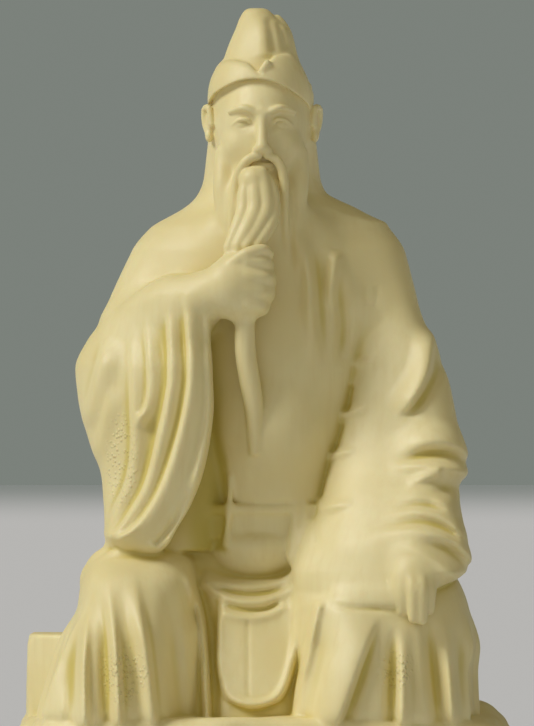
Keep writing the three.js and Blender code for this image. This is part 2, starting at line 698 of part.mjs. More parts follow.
// The hand that lies over the left knee with its fingers down
function leftHand(clay) {
  clay.add(rope([[216, -190, 240], [214, -220, 210]], [30, 28]), 12);
  clay.add(ball([215, -238, 186], [26, 13, 30]), 8);
  clay.add(ball([214, -230, 212], [28, 17, 26]), 16);
  const fingers = [
    [194, 166, -7],
    [208, 153, 0],
    [222, 150, 0],
    [235, 162, -7],
  ];
  for (const [x, z, out] of fingers) {
    clay.add(rope([[x, -242 - out, 204], [x, -254 - out, 188], [x, -250 - out, z]], [9, 9.5, 8]), 2);
  }
  return clay;
}

// Points given for one half of the face, on either side of its middle
const mirrored = (side, points) => points.map(([x, y, z]) => [side * x - 2, y, z]);

// A face of calm, regular proportions, with its ears and the cloth that falls from the cap
function head(clay) {
  clay.add(ball([-2, -6, 836], [65, 80, 86]));
  clay.add(ball([-2, -28, 786], [50, 54, 46]), 26);
  const cloth = [
    [728, -2, 52, 92, 50],
    [752, -2, 44, 85, 54],
    [790, -2, 34, 80, 62],
    [840, -2, 20, 75, 72],
    [900, -2, 12, 71, 78],
  ];
  clay.add(loft(cloth), 8);
  for (const side of [-1, 1]) {
    const [socket, eye, cheek] = mirrored(side, [[26, -92, 839], [27, -66, 835], [35, -52, 806]]);
    clay.cut(ball(socket, [19, 14, 11]), 10);
    clay.add(ball(eye, [15, 16, 9]), 1);
    clay.add(rope(mirrored(side, [[13, -80, 836], [27, -84, 843], [41, -76, 837]]), [3, 4, 3]), 2);
    clay.add(rope(mirrored(side, [[9, -83, 853], [27, -81, 860], [47, -64, 854]]), [4, 5, 3]), 6);
    clay.add(ball(cheek, [18, 20, 18]), 14);
    const [wing, lobe] = mirrored(side, [[8, -92, 799], [75, -2, 829]]);
    clay.add(ball(wing, [7, 9, 6]), 3);
    clay.add(rope(mirrored(side, [[70, -8, 858], [77, 2, 856], [76, 2, 838]]), [6, 7, 7]), 3);
    clay.add(ball(lobe, [7, 9, 17]), 4);
  }
  clay.add(rope([[-2, -80, 853], [-2, -88, 828], [-2, -97, 806]], [6, 7, 9]), 6);
  clay.add(rope([[-15, -84, 779], [-2, -89, 777], [11, -84, 779]], [4, 5, 4]), 3);
  return clay;
}

// A soft cap: a folded band rises over the brow, and a peak is swept up behind it
function cap(clay) {
  const dome = ball([-4, 8, 874], [76, 86, 84]);
  const left = [[-80, 900], [-72, 914], [-64, 926], [-46, 929], [-24, 924], [-4, 912]];
  const right = [[4, 920], [18, 935], [36, 938], [48, 930], [58, 912], [70, 885]];
  const crest = spline([...left, ...right]);
  const band = {
    box: dome.box,
    distance(x, y, z) {
      const edge = 901 - 0.0062 * (x + 6) ** 2 - 0.08 * (x + 6) - 0.25 * Math.max(y + 30, 0);
      const top = crest(x)[0] + 0.2 * Math.max(y, 0);
      return smoothMax(smoothMax(dome.distance(x, y, z), edge - z, 3), 0.8 * (z - top), 7);
    },
  };
  clay.add(band, 1);
  clay.add(rope([[-2, -66, 915], [5, -62, 924]], [5, 5]), 6);
  const peak = [
    [880, -5, 16, 64, 72],
    [905, -6, 18, 58, 62],
    [926, -6, 20, 52, 54],
    [943, -5, 24, 48, 47],
    [972, -3, 32, 38, 38],
    [990, -8, 38, 26, 26],
    [1004, -10, 42, 16, 16],
  ];
  clay.add(loft(peak, { power: 1.8, round: 8 }), 4);
  clay.add(rope([[34, 30, 930], [28, 44, 966], [19, 46, 987]], [16, 13, 8]), 6);
  const creases = new Relief("front");
  creases.fold([[2, 930], [1, 960], [-4, 996]], 14, 5, [0.2, 0.2]);
  creases.fold([[15, 936], [12, 962], [7, 994]], 6, -5, [0.2, 0.2]);
  creases.fold([[34, 940], [28, 966], [20, 986]], 5, -5, [0.2, 0.2]);
  clay.carve(creases, (x, y, z) => smoothstep(z, 912, 930) * (1 - smoothstep(y, 10, 40)));
  return clay;
}

// Moustache, side locks and the long beard, which the fist gathers and lets fall down the belly
function beard(clay) {
  clay.add(ball([-8, -64, 716], [48, 42, 66]), 16);
  clay.add(rope([[-8, -82, 752], [-8, -92, 716], [-16, -104, 676], [-20, -112, 630]], [16, 19, 20, 24]), 6);
  clay.add(ball([-14, -95, 757], [21, 22, 20]), 6);
  // Three strands into the fist, one out of it, and the two ends of the moustache
  const left = [[-20, -97, 764], [-26, -106, 738], [-28, -114, 714], [-36, -128, 690], [-48, -136, 662]];
  clay.add(rope(left, [9, 11, 11, 11, 9]), 3);
  const middle = [[-9, -103, 766], [-6, -113, 738], [-6, -120, 714], [-16, -134, 690], [-31, -144, 662]];
  clay.add(rope(middle, [12, 13, 13, 12, 9]), 3);
  const right = [[2, -97, 764], [10, -106, 740], [12, -113, 712], [4, -129, 688], [-12, -142, 664]];
  clay.add(rope(right, [9, 11, 11, 11, 8]), 3);
  const tail = [[-26, -136, 572], [-26, -132, 516], [-19, -129, 470], [-13, -126, 430], [-12, -122, 374]];
  clay.add(rope(tail, [13, 15, 15, 13, 9]), 3);
  const shorter = [[-8, -94, 792], [-24, -94, 784], [-38, -90, 760], [-43, -90, 715], [-46, -88, 664]];
  clay.add(rope(shorter, [7, 7, 7, 7, 5]), 3);
  const longer = [[6, -94, 792], [20, -94, 784], [29, -91, 760], [30, -92, 700], [36, -84, 612]];
  clay.add(rope(longer, [7, 7, 7, 7, 5]), 3);
  // The jaw's side locks, close under the cloth
  for (const side of [-1, 1]) {
    const lock = [[side * 52 - 3, -40, 792], [side * 52 - 4, -56, 745], [side * 48 - 5, -66, 690]];
    clay.add(rope(lock, [15, 16, 10]), 10);
  }
  return clay;
}

// Plainer work behind: soft folds that the belt gathers, and folds of the hem on the flanks
function backFolds() {
  const folds = new Relief("front");
  for (let n = -3; n <= 3; n++) {
    const height = n % 2 ? -8 : 8;
    folds.fold([[40 * n, 660], [42 * n, 480], [38 * n, 320]], 14, height, [0.5, 0.3]);
    folds.fold([[40 * n, 250], [48 * n, 190], [60 * n, 110]], 14, -height, [0.3, 0.2]);
  }
  return folds;
}

function flankFolds() {
  const folds = new Relief("side");
  for (let n = 0; n < 5; n++) {
    const y = -190 + 44 * n;
    folds.fold([[y + 20, 150], [y + 4, 60], [y, -30]], 11, n % 2 ? -9 : 9, [0.4, 0]);
  }
  return folds;
}

function figure() {
  const clay = legs(trunk(new Clay()));
  clay.carve(apron(skirtFolds()), infront(-60, 20));
  clay.carve(chestFolds(), infront(-10, 40));
  clay.carve(backFolds(), behind(110, 60));
  clay.carve(flankFolds(), (x) => smoothstep(Math.abs(x), 200, 260));
  belt(clay);
  sash(clay);
  clay.carve(swags(), infront(-60, 20), 0.1);
  rightArm(clay);
  clay.join(rightSleeve(), (z) => 6 + 12 * smoothstep(z, 210, 232) * (1 - smoothstep(z, 236, 262)));
  // The left sleeve runs into the breast above its mouth and into the lap below
  clay.join(leftSleeve(), (z) => 6 + 34 * smoothstep(z, 520, 590));
  clay.add(rope([[88, -104, 230], [84, -132, 176], [88, -160, 100]], [40, 40, 28]), 34);
  clay.carve(hemLine(), infront(-60, 20), 0.5);
  head(clay);
  cap(clay);
  beard(clay);
  rightHand(clay);
  leftHand(clay);
  const ground = seat(new Clay());
  ground.add(plinth(), 6);
  return clay.join(ground, () => 4);
}

// Where two solid corners of a cell face each other across it, the surface would touch itself, so
// such a face is filled
function fillSaddles(field) {
  const { across, deep, levels, index } = GRID;
  const steps = [1, across, across * deep];
  for (let again = true; again; ) {
    again = false;
    for (let k = 0; k < levels.length - 1; k++)
      for (let j = 0; j < deep - 1; j++)
        for (let i = 0; i < across - 1; i++) {
          const n = index(i, j, k);
          for (let axis = 0; axis < 3; axis++) {
            const [u, v] = [steps[(axis + 1) % 3], steps[(axis + 2) % 3]];
            const solid = [n, n + u, n + u + v, n + v].map((m) => field[m] < 0);
            if (solid[0] === solid[2] && solid[1] === solid[3] && solid[0] !== solid[1]) {
              field[solid[0] ? n + u : n] = -1e-3;
              again = true;
            }
          }
        }
  }
}

// A blade reaches every hollow from outside, so a hollow that the air round the figure doesn't reach
// stays full of wood. The air is followed from a corner of the grid, whose borders are all free.
function fillHollows(field) {
  const { across, deep, levels, index } = GRID;
  const steps = [1, across, across * deep];
  const free = new Uint8Array(GRID.count);
  const open = [index(0, 0, levels.length - 1)];
  while (open.length) {
    const n = open.pop();
    if (free[n] || !(field[n] >= 0)) continue;
    free[n] = 1;
    for (const step of steps) open.push(n - step, n + step);
  }
  free.forEach((isFree, n) => {
    if (!isFree && field[n] >= 0) field[n] = -CELL;
  });
}

// The zero surface as points and triangles: one point in each cell that it crosses
function mesh(field) {
  const { across, deep, levels, index, x, y } = GRID;
  const cellPoint = new Int32Array(GRID.count).fill(-1);
  const points = [];
  const corners = [0, 1, 2, 3, 4, 5, 6, 7].map((c) => [c & 1, (c >> 1) & 1, c >> 2]);
  const edges = [];
  corners.forEach((p, a) => [1, 2, 4].forEach((bit) => (a & bit ? 0 : edges.push([a, a | bit]))));
  for (let k = 0; k < levels.length - 1; k++)
    for (let j = 0; j < deep - 1; j++)
      for (let i = 0; i < across - 1; i++) {
        const values = corners.map(([a, b, c]) => field[index(i + a, j + b, k + c)]);
        const inside = values.filter((v) => v < 0).length;
        if (inside === 0 || inside === 8) continue;
        const sum = [0, 0, 0];
        let crossings = 0;
        for (const [p, q] of edges) {
          if (values[p] < 0 === values[q] < 0) continue;
          const t = values[p] / (values[p] - values[q]);
          const place = (c) => [x(i + c[0], k + c[2]), y(j + c[1], k + c[2]), levels[k + c[2]]];
          const [from, to] = [place(corners[p]), place(corners[q])];
          from.forEach((v, n) => (sum[n] += v + t * (to[n] - v)));
          crossings++;
        }
        cellPoint[index(i, j, k)] = points.length / 3;
        points.push(...sum.map((v) => v / crossings));
      }
  const triangles = [];
  const steps = [1, across, across * deep];
  for (let k = 1; k < levels.length - 1; k++)
    for (let j = 1; j < deep - 1; j++)
      for (let i = 1; i < across - 1; i++) {
        const n = index(i, j, k);
        for (let axis = 0; axis < 3; axis++) {
          const solid = field[n] < 0;
          if (solid === field[n + steps[axis]] < 0) continue;
          const [u, v] = [steps[(axis + 1) % 3], steps[(axis + 2) % 3]];
          const quad = [n - u - v, n - v, n, n - u].map((m) => cellPoint[m]);
          if (!solid) quad.reverse();
          triangles.push(quad[0], quad[1], quad[2], quad[0], quad[2], quad[3]);
        }
      }
  return { points, triangles };
}

// Thins the mesh to a number of triangles by joining, each time, the two points whose union moves
// the surface least. A union that would pinch or fold the surface is passed over.
function thin({ points, triangles }, target, importance) {
  const count = points.length / 3;
  const place = Float64Array.from(points);
  const error = new Float64Array(count * 10);
  const around = Array.from({ length: count }, () => new Set());
  const corner = Int32Array.from(triangles);
  const alive = new Uint8Array(corner.length / 3).fill(1);
  const version = new Int32Array(count);
  const at = (v) => [place[3 * v], place[3 * v + 1], place[3 * v + 2]];
  const normalOf = (a, b, c) => {
    const [ux, uy, uz] = [b[0] - a[0], b[1] - a[1], b[2] - a[2]];
    const [vx, vy, vz] = [c[0] - a[0], c[1] - a[1], c[2] - a[2]];
    return [uy * vz - uz * vy, uz * vx - ux * vz, ux * vy - uy * vx];
  };
  for (let t = 0; t < alive.length; t++) {
    const ids = [corner[3 * t], corner[3 * t + 1], corner[3 * t + 2]];
    const n = normalOf(...ids.map(at));
    const size = Math.hypot(...n) || 1e-9;
    const [a, b, c] = n.map((v) => v / size);
    const p = at(ids[0]);
    const d = -(a * p[0] + b * p[1] + c * p[2]);
    const terms = [a * a, a * b, a * c, a * d, b * b, b * c, b * d, c * c, c * d, d * d];
    const weight = size * importance(...p);
    for (const v of ids) {
      around[v].add(t);
      terms.forEach((term, m) => (error[10 * v + m] += term * weight));
    }
  }
  const costAt = (q, [x, y, z]) =>
    q[0] * x * x + 2 * q[1] * x * y + 2 * q[2] * x * z + 2 * q[3] * x + q[4] * y * y +
    2 * q[5] * y * z + 2 * q[6] * y + q[7] * z * z + 2 * q[8] * z + q[9];
  const solve = new THREE.Matrix3();
  const union = (v, w) => {
    const q = Array.from({ length: 10 }, (_, m) => error[10 * v + m] + error[10 * w + m]);
    const [a, b] = [at(v), at(w)];
    const middle = a.map((value, m) => (value + b[m]) / 2);
    const options = [middle, a, b];
    const size = q[0] + q[4] + q[7];
    solve.set(q[0], q[1], q[2], q[1], q[4], q[5], q[2], q[5], q[7]);
    if (solve.determinant() > 1e-5 * size ** 3) {
      const best = new THREE.Vector3(-q[3], -q[6], -q[8]).applyMatrix3(solve.invert()).toArray();
      const length = Math.hypot(a[0] - b[0], a[1] - b[1], a[2] - b[2]);
      const away = Math.hypot(best[0] - middle[0], best[1] - middle[1], best[2] - middle[2]);
      if (away < 1.5 * length) options.unshift(best);
    }
    let [spot, cost] = [null, Infinity];
    for (const option of options) {
      const c = costAt(q, option);
      if (c < cost) [spot, cost] = [option, c];
    }
    return { v, w, spot, cost: Math.max(cost, 0) + 1e-6 * size, versions: [version[v], version[w]] };
  };
  const heap = [];
  const push = (item) => {
    let n = heap.push(item) - 1;
    while (n > 0) {
      const up = (n - 1) >> 1;
      if (heap[up].cost <= item.cost) break;
      heap[n] = heap[up];
      n = up;
    }
    heap[n] = item;
  };
  const pop = () => {
    const first = heap[0];
    const last = heap.pop();
    let n = 0;
    while (heap.length && 2 * n + 1 < heap.length) {
      let child = 2 * n + 1;
      if (child + 1 < heap.length && heap[child + 1].cost < heap[child].cost) child++;
      if (heap[child].cost >= last.cost) break;
      heap[n] = heap[child];
      n = child;
    }
    if (heap.length) heap[n] = last;
    return first;
  };
  const neighbours = (v) => {
    const found = new Set();
    for (const t of around[v]) for (let m = 0; m < 3; m++) found.add(corner[3 * t + m]);
    found.delete(v);
    return found;
  };
  for (let v = 0; v < count; v++) for (const w of neighbours(v)) if (v < w) push(union(v, w));
  const folds = (v, w, spot) => {
    for (const t of around[v]) {
      const ids = [corner[3 * t], corner[3 * t + 1], corner[3 * t + 2]];
      if (ids.includes(w)) continue;
      const before = normalOf(...ids.map(at));
      const after = normalOf(...ids.map((id) => (id === v ? spot : at(id))));
      const agree = before[0] * after[0] + before[1] * after[1] + before[2] * after[2];
      if (agree < 0.25 * Math.hypot(...before) * Math.hypot(...after)) return true;
    }
    return false;
  };
  let left = alive.length;
  while (left > target && heap.length) {
    const { v, w, spot, versions } = pop();
    if (versions[0] !== version[v] || versions[1] !== version[w]) continue;
    const near = neighbours(v);
    const shared = [...neighbours(w)].filter((n) => near.has(n));
    if (shared.length !== 2 || folds(v, w, spot) || folds(w, v, spot)) continue;
    for (const t of around[w]) {
      const ids = [corner[3 * t], corner[3 * t + 1], corner[3 * t + 2]];
      if (ids.includes(v)) {
        alive[t] = 0;
        left--;
        ids.forEach((id) => around[id].delete(t));
      } else {
        corner[3 * t + ids.indexOf(w)] = v;
        around[v].add(t);
      }
    }
    around[w].clear();
    spot.forEach((value, m) => (place[3 * v + m] = value));
    for (let m = 0; m < 10; m++) error[10 * v + m] += error[10 * w + m];
    version[v]++;
    version[w] = -1;
    for (const n of neighbours(v)) push(union(v, n));
  }
  const kept = [];
  for (let t = 0; t < alive.length; t++) {
    if (alive[t]) kept.push(corner[3 * t], corner[3 * t + 1], corner[3 * t + 2]);
  }
  return { points: place, triangles: kept };
}

// Where the triangles go: the head and hands first, then the front, and least to the plain back
function importance(x, y, z) {
  const facing = 1 - 0.75 * smoothstep(y, -20, 120);
  const head = 1 + 5 * smoothstep(z, 730, 780);
  const hands = z > 560 && z < 680 && Math.abs(x + 25) < 60 ? 4 : 1;
  const sleeve = z > 230 && z < 600 && x < -70 ? 2.5 : 1;
  const knee = z > 130 && z < 215 && Math.abs(x - 212) < 45 && y < -190 ? 4 : 1;
  return facing * head * Math.max(hands, sleeve, knee) * (z < -2 ? 0.2 : 1);
}

// Joins and cuts are made on closed solids of this kind
const wasm = await Module();
wasm.setup();

function solidOf(geometry) {
  const bare = geometry.clone();
  bare.deleteAttribute("normal");
  bare.deleteAttribute("uv");
  const merged = mergeVertices(bare);
  return new wasm.Manifold(
    new wasm.Mesh({
      numProp: 3,
      vertProperties: merged.attributes.position.array,
      triVerts: new Uint32Array(merged.index.array),
    }),
  );
}

function geometryOf(solid) {
  const { vertProperties, triVerts } = solid.getMesh();
  const geometry = new THREE.BufferGeometry();
  geometry.setAttribute("position", new THREE.BufferAttribute(new Float32Array(vertProperties), 3));
  geometry.setIndex(new THREE.BufferAttribute(new Uint32Array(triVerts), 1));
  return geometry;
}

// The carving in millimetres, sawn off flat under the plinth and set with that face on z = 0
function carving() {
  const clay = figure();
  fillSaddles(clay.field);
  fillHollows(clay.field);
  const { points, triangles } = thin(mesh(clay.field), TRIANGLES, importance);
  const rough = new THREE.BufferGeometry();
  rough.setAttribute("position", new THREE.Float32BufferAttribute(points, 3));
  rough.setIndex(triangles);
  rough.scale(UNIT, UNIT, UNIT).translate(0, 0, PLINTH_HEIGHT);
  const saw = new THREE.BoxGeometry(4 * FIGURE_HEIGHT, 4 * FIGURE_HEIGHT, FIGURE_HEIGHT);
  saw.translate(0, 0, -FIGURE_HEIGHT / 2);
  const geometry = geometryOf(solidOf(rough.toNonIndexed()).subtract(solidOf(saw)));
  geometry.computeBoundingBox();
  const middle = geometry.boundingBox.getCenter(new THREE.Vector3());
  geometry.translate(-middle.x, -middle.y, 0);
  geometry.computeVertexNormals();
  return geometry;
}

const boxwood = new THREE.MeshStandardMaterial({ color: 0xe3d6a0, roughness: 0.55, metalness: 0 });

const statue = new THREE.Group();
const seatedFigure = new THREE.Mesh(carving(), boxwood);
seatedFigure.name = "seated_figure_on_rock_plinth";
statue.add(seatedFigure);

export default statue;
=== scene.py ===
# A seated figure in a wide-sleeved robe and a tall soft cap, stroking a long beard, carved together
# with its rock seat and plinth from one block of pale boxwood.
#
# The carving is built as a field of distances on a grid: bodies are added and blended, folds are laid
# on them as ridges and grooves, and the surface where the distance is zero becomes the mesh.
import math

import bpy
import numpy as np
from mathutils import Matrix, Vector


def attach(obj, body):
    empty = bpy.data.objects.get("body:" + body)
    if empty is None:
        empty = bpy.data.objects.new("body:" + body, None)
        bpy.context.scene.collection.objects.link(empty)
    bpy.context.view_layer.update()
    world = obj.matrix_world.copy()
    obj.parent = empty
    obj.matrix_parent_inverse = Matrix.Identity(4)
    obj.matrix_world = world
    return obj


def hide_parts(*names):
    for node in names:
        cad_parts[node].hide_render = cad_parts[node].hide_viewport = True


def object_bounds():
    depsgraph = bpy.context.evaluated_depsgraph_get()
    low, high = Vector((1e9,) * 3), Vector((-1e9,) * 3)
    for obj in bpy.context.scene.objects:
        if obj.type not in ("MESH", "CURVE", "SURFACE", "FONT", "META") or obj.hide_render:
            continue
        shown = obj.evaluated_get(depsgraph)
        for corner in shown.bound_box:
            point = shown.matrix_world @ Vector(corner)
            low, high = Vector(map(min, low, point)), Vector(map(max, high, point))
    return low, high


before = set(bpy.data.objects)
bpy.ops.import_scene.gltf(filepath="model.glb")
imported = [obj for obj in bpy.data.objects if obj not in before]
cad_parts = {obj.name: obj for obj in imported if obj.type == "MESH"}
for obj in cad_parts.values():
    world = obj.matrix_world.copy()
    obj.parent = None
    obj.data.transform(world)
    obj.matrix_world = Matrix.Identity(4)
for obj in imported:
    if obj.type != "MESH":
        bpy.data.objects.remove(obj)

import openvdb
from mathutils import Vector

CAD_LOW, CAD_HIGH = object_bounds()

# Driving dimensions, in metres
FIGURE_HEIGHT = 0.109
PLINTH_HEIGHT = 0.011
PLINTH_LEDGE = 0.003
PLINTH_EDGE = 0.002

# Every place and size on the figure is in thousandths of its height. The plinth's own sizes are
# turned into the same units here.
FIGURE_TALL = 1000
UNIT = FIGURE_HEIGHT / FIGURE_TALL
PLINTH_TALL = PLINTH_HEIGHT / UNIT
LEDGE = PLINTH_LEDGE / UNIT
EDGE_ROUND = PLINTH_EDGE / UNIT

# The figure's footprint on the plinth
FOOT_HALF_WIDTH = 334
FOOT_HALF_DEPTH = 250

# The carving grid holds the plinth and the figure with some cells to spare all round. Its cells
# shrink towards the head, where the work is finest.
FINEST_CELL = 3.0
CELL = FINEST_CELL
HEAD_CELL_SHARE = 0.45
NARROWING_FROM = 500
NARROWING_TO = 730
HALF_WIDTH = 390
HALF_DEPTH = 320
TOP = FIGURE_TALL + 20
UNDERCUT = 3 * CELL  # clay below the plinth's underside, which is sawn off flat
MARGIN = 3 * CELL  # how far round a body its distance is kept
FAR = 60  # the distance where there is no clay near
SLAB = 12  # levels that are worked on at a time
ROPE_STEPS = 12  # straight pieces in a rope
STROKE_STEPS = 5  # straight pieces of a fold's curve between two of its points
BELL_REACH = 2.6  # widths from the middle of a bell to where it has all but run out
TINY = 1e-6  # keeps a division away from zero
WITHIN = 1.001  # keeps a place just inside the last cell
TRIANGLES = 192000


def smoothstep(value, low, high):
    """0 below low and 1 above high, with a soft passage between them."""
    share = np.clip((value - low) / (high - low), 0, 1)
    return share * share * (3 - 2 * share)


def smooth_min(a, b, blend):
    """The smaller of two distances, rounded where they are closer than the blend."""
    if blend <= 0:
        return np.minimum(a, b)
    overlap = np.maximum(blend - np.abs(a - b), 0) / blend
    return np.minimum(a, b) - overlap * overlap * blend / 4


def smooth_max(a, b, blend):
    return -smooth_min(-a, -b, blend)


def length(*parts):
    return np.sqrt(sum(part * part for part in parts))


def spline(keys):
    """A smooth curve through keys (t, value, value, ...) that never overshoots them."""
    keys = np.array(keys, float)
    t, values = keys[:, 0], keys[:, 1:]
    slopes = np.diff(values, axis=0) / np.diff(t)[:, None]
    before, after = slopes[:-1], slopes[1:]
    product = before * after
    total = np.where(product > 0, before + after, 1)
    inner = np.where(product > 0, 2 * product / total, 0)
    tangents = np.vstack([slopes[:1], inner, slopes[-1:]])

    def at(places):
        places = np.clip(np.atleast_1d(places), t[0], t[-1])
        n = np.clip(np.searchsorted(t, places, side="right") - 1, 0, len(t) - 2)
        span = (t[n + 1] - t[n])[:, None]
        u = (places - t[n])[:, None] / span
        u2, u3 = u * u, u * u * u
        ends = values[n] * (2 * u3 - 3 * u2 + 1) + values[n + 1] * (3 * u2 - 2 * u3)
        return ends + span * (tangents[n] * (u3 - 2 * u2 + u) + tangents[n + 1] * (u3 - u2))

    return at


def smooth_line(points, steps):
    """Spots along a curve through the points."""
    points = np.array(points, float)
    padded = np.vstack([points[:1], points, points[-1:]])
    places = np.linspace(0, len(points) - 1, steps + 1)
    n = np.minimum(places.astype(int), len(points) - 2)
    u = (places - n)[:, None]
    p0, p1, p2, p3 = padded[n], padded[n + 1], padded[n + 2], padded[np.minimum(n + 3, len(padded) - 1)]
    v0, v1 = (p2 - p0) / 2, (p3 - p1) / 2
    return (2 * (p1 - p2) + v0 + v1) * u**3 + (3 * (p2 - p1) - 2 * v0 - v1) * u**2 + v0 * u + p1


def narrowing(z):
    """The share of a full cell that the cells have at a height."""
    return 1 - (1 - HEAD_CELL_SHARE) * smoothstep(z, NARROWING_FROM, NARROWING_TO)


def make_levels():
    levels = [-PLINTH_TALL - UNDERCUT]
    while levels[-1] < TOP:
        levels.append(levels[-1] + CELL * float(narrowing(levels[-1])))
    return np.array(levels, np.float32)


LEVELS = make_levels()
STEPS = (CELL * narrowing(LEVELS)).astype(np.float32)
ACROSS = int(2 * HALF_WIDTH / CELL) + 1
DEEP = int(2 * HALF_DEPTH / CELL) + 1
COLUMNS = np.arange(ACROSS, dtype=np.float32) - (ACROSS - 1) / 2
ROWS = np.arange(DEEP, dtype=np.float32) - (DEEP - 1) / 2


class Solid:
    """A distance function and the box that holds the body."""

    def __init__(self, low, high, distance):
        self.low = np.array(low, float)
        self.high = np.array(high, float)
        self.distance = distance


def ball(centre, radii):
    """A ball or an egg."""
    centre, radii = np.array(centre, float), np.array(radii, float)

    def distance(x, y, z):
        u, v, w = (x - centre[0]) / radii[0], (y - centre[1]) / radii[1], (z - centre[2]) / radii[2]
        near = length(u, v, w)
        return near * (near - 1) / np.maximum(TINY, length(u / radii[0], v / radii[1], w / radii[2]))

    return Solid(centre - radii, centre + radii, distance)


def rope(points, radii):
    """A limb, lock of hair or finger: a round rope through points, with its radii spread along it."""
    count = 1 if len(points) == 2 else ROPE_STEPS
    spots = smooth_line(points, count)
    width = spline([(n / (len(radii) - 1), r) for n, r in enumerate(radii)])
    widths = width(np.linspace(0, 1, count + 1))[:, 0]

    def distance(x, y, z):
        best = np.full(np.broadcast(x, y, z).shape, FAR, np.float32)
        for n in range(count):
            p, q = spots[n], spots[n + 1]
            dx, dy, dz = q - p
            along = (x - p[0]) * dx + (y - p[1]) * dy + (z - p[2]) * dz
            t = np.clip(along / (dx * dx + dy * dy + dz * dz), 0, 1)
            gap = length(x - p[0] - t * dx, y - p[1] - t * dy, z - p[2] - t * dz)
            best = np.minimum(best, gap - widths[n] - t * (widths[n + 1] - widths[n]))
        return best

    most = max(radii)
    return Solid(spots.min(axis=0) - most, spots.max(axis=0) + most, distance)


def loft(keys, power=2.0, skew=0.0, rounding=12):
    """A body swept upwards through oval sections (z, centre x, centre y, half width, half depth)."""
    section = spline(keys)
    table = np.array(keys, float)
    bottom, top = table[0, 0], table[-1, 0]
    reach = table[:, 4] + abs(skew) * table[:, 3]
    low = ((table[:, 1] - table[:, 3]).min(), (table[:, 2] - reach).min(), bottom)
    high = ((table[:, 1] + table[:, 3]).max(), (table[:, 2] + reach).max(), top)

    def distance(x, y, z):
        now = section(z.ravel()).astype(np.float32)
        cx, cy, a, b = (now[:, n][:, None, None] for n in range(4))
        u = np.abs(x - cx) / a
        v = np.abs(y - cy - skew * (x - cx)) / b
        near = np.power(np.power(u, power) + np.power(v, power), 1 / power)
        steepness = length(np.power(u, power - 1) / a, np.power(v, power - 1) / b)
        sideways = (near - 1) * np.power(near, power - 1) / np.maximum(steepness, TINY)
        on_axis = near < 1e-3
        sideways = np.where(on_axis, -np.minimum(a, b), sideways)
        return smooth_max(sideways, np.maximum(bottom - z, z - top), rounding)

    return Solid(low, high, distance)


def block(centre, half, rounding):
    """A box with rounded edges."""
    centre, half = np.array(centre, float), np.array(half, float)

    def distance(x, y, z):
        parts = [np.abs(v - centre[n]) - half[n] + rounding for n, v in enumerate((x, y, z))]
        outside = length(*(np.maximum(part, 0) for part in parts))
        return outside + np.minimum(np.maximum(np.maximum(parts[0], parts[1]), parts[2]), 0) - rounding

    return Solid(centre - half, centre + half, distance)


class Clay:
    """Clay on the grid: solids are added to it or cut from it, and reliefs are carved on it."""

    def __init__(self):
        self.field = np.full((len(LEVELS), DEEP, ACROSS), FAR, np.float32)

    def visit(self, low, high, change):
        """Changes the field in a box, some levels at a time."""
        first, last = np.searchsorted(LEVELS, [low[2], high[2]])
        for k in range(first, last, SLAB):
            rows = slice(k, min(k + SLAB, last))
            steps = STEPS[rows]
            ends = []
            for axis, count in ((0, ACROSS), (1, DEEP)):
                middle = (count - 1) / 2
                start = np.floor(min(low[axis] / steps.min(), low[axis] / steps.max()) + middle)
                end = np.ceil(max(high[axis] / steps.min(), high[axis] / steps.max()) + middle) + 1
                ends.append(slice(int(np.clip(start, 0, count)), int(np.clip(end, 0, count))))
            part = self.field[rows, ends[1], ends[0]]
            if part.size == 0:
                continue
            x = COLUMNS[None, None, ends[0]] * steps[:, None, None]
            y = ROWS[None, ends[1], None] * steps[:, None, None]
            part[...] = change(part, x, y, LEVELS[rows][:, None, None])
        return self

    def add(self, solid, blend=0, around=0):
        """Adds a body; its distance is kept this far around it for a later blend."""
        margin = MARGIN + blend + around
        return self.visit(
            solid.low - margin,
            solid.high + margin,
            lambda old, x, y, z: smooth_min(old, solid.distance(x, y, z), blend),
        )

    def cut(self, solid, blend):
        margin = CELL + blend
        return self.visit(
            solid.low - margin,
            solid.high + margin,
            lambda old, x, y, z: smooth_max(old, -solid.distance(x, y, z), blend),
        )

    def join(self, other, blend):
        """Adds other clay; the blend is a function of the height."""
        for k in range(len(LEVELS)):
            self.field[k] = smooth_min(self.field[k], other.field[k], float(blend(LEVELS[k])))
        return self

    def carve(self, relief, share, lean=0.0):
        """Pulls the surface towards the viewer of the relief by its height, where the share is 1.

        Lean is the part of the height that goes outwards instead, square to the surface.
        """
        for k in np.flatnonzero(relief.heights.any(axis=1)):
            used = np.flatnonzero(relief.heights[k])
            drawn = slice(used[0], used[-1] + 1)
            z = LEVELS[k]
            if relief.view == "front":
                plane = self.field[k][:, drawn]
                x, y = COLUMNS[None, drawn] * STEPS[k], ROWS[:, None] * STEPS[k]
                outwards = 1
            else:
                plane = self.field[k][drawn, :].T
                x, y = COLUMNS[:, None] * STEPS[k], ROWS[None, drawn] * STEPS[k]
                outwards = np.where(x < 0, 1, -1)
            lift = relief.heights[k][None, drawn] * share(x, y, z)
            cells = np.arange(plane.shape[0])[:, None]
            start = np.clip(cells + outwards * lift * (1 - lean) / STEPS[k], 0, plane.shape[0] - WITHIN)
            whole = start.astype(int)
            near = np.take_along_axis(plane, whole, 0)
            far = np.take_along_axis(plane, whole + 1, 0)
            plane[...] = near + (start - whole) * (far - near) - lift * lean
        return self


def bell(offset):
    return np.exp(-(offset**2))


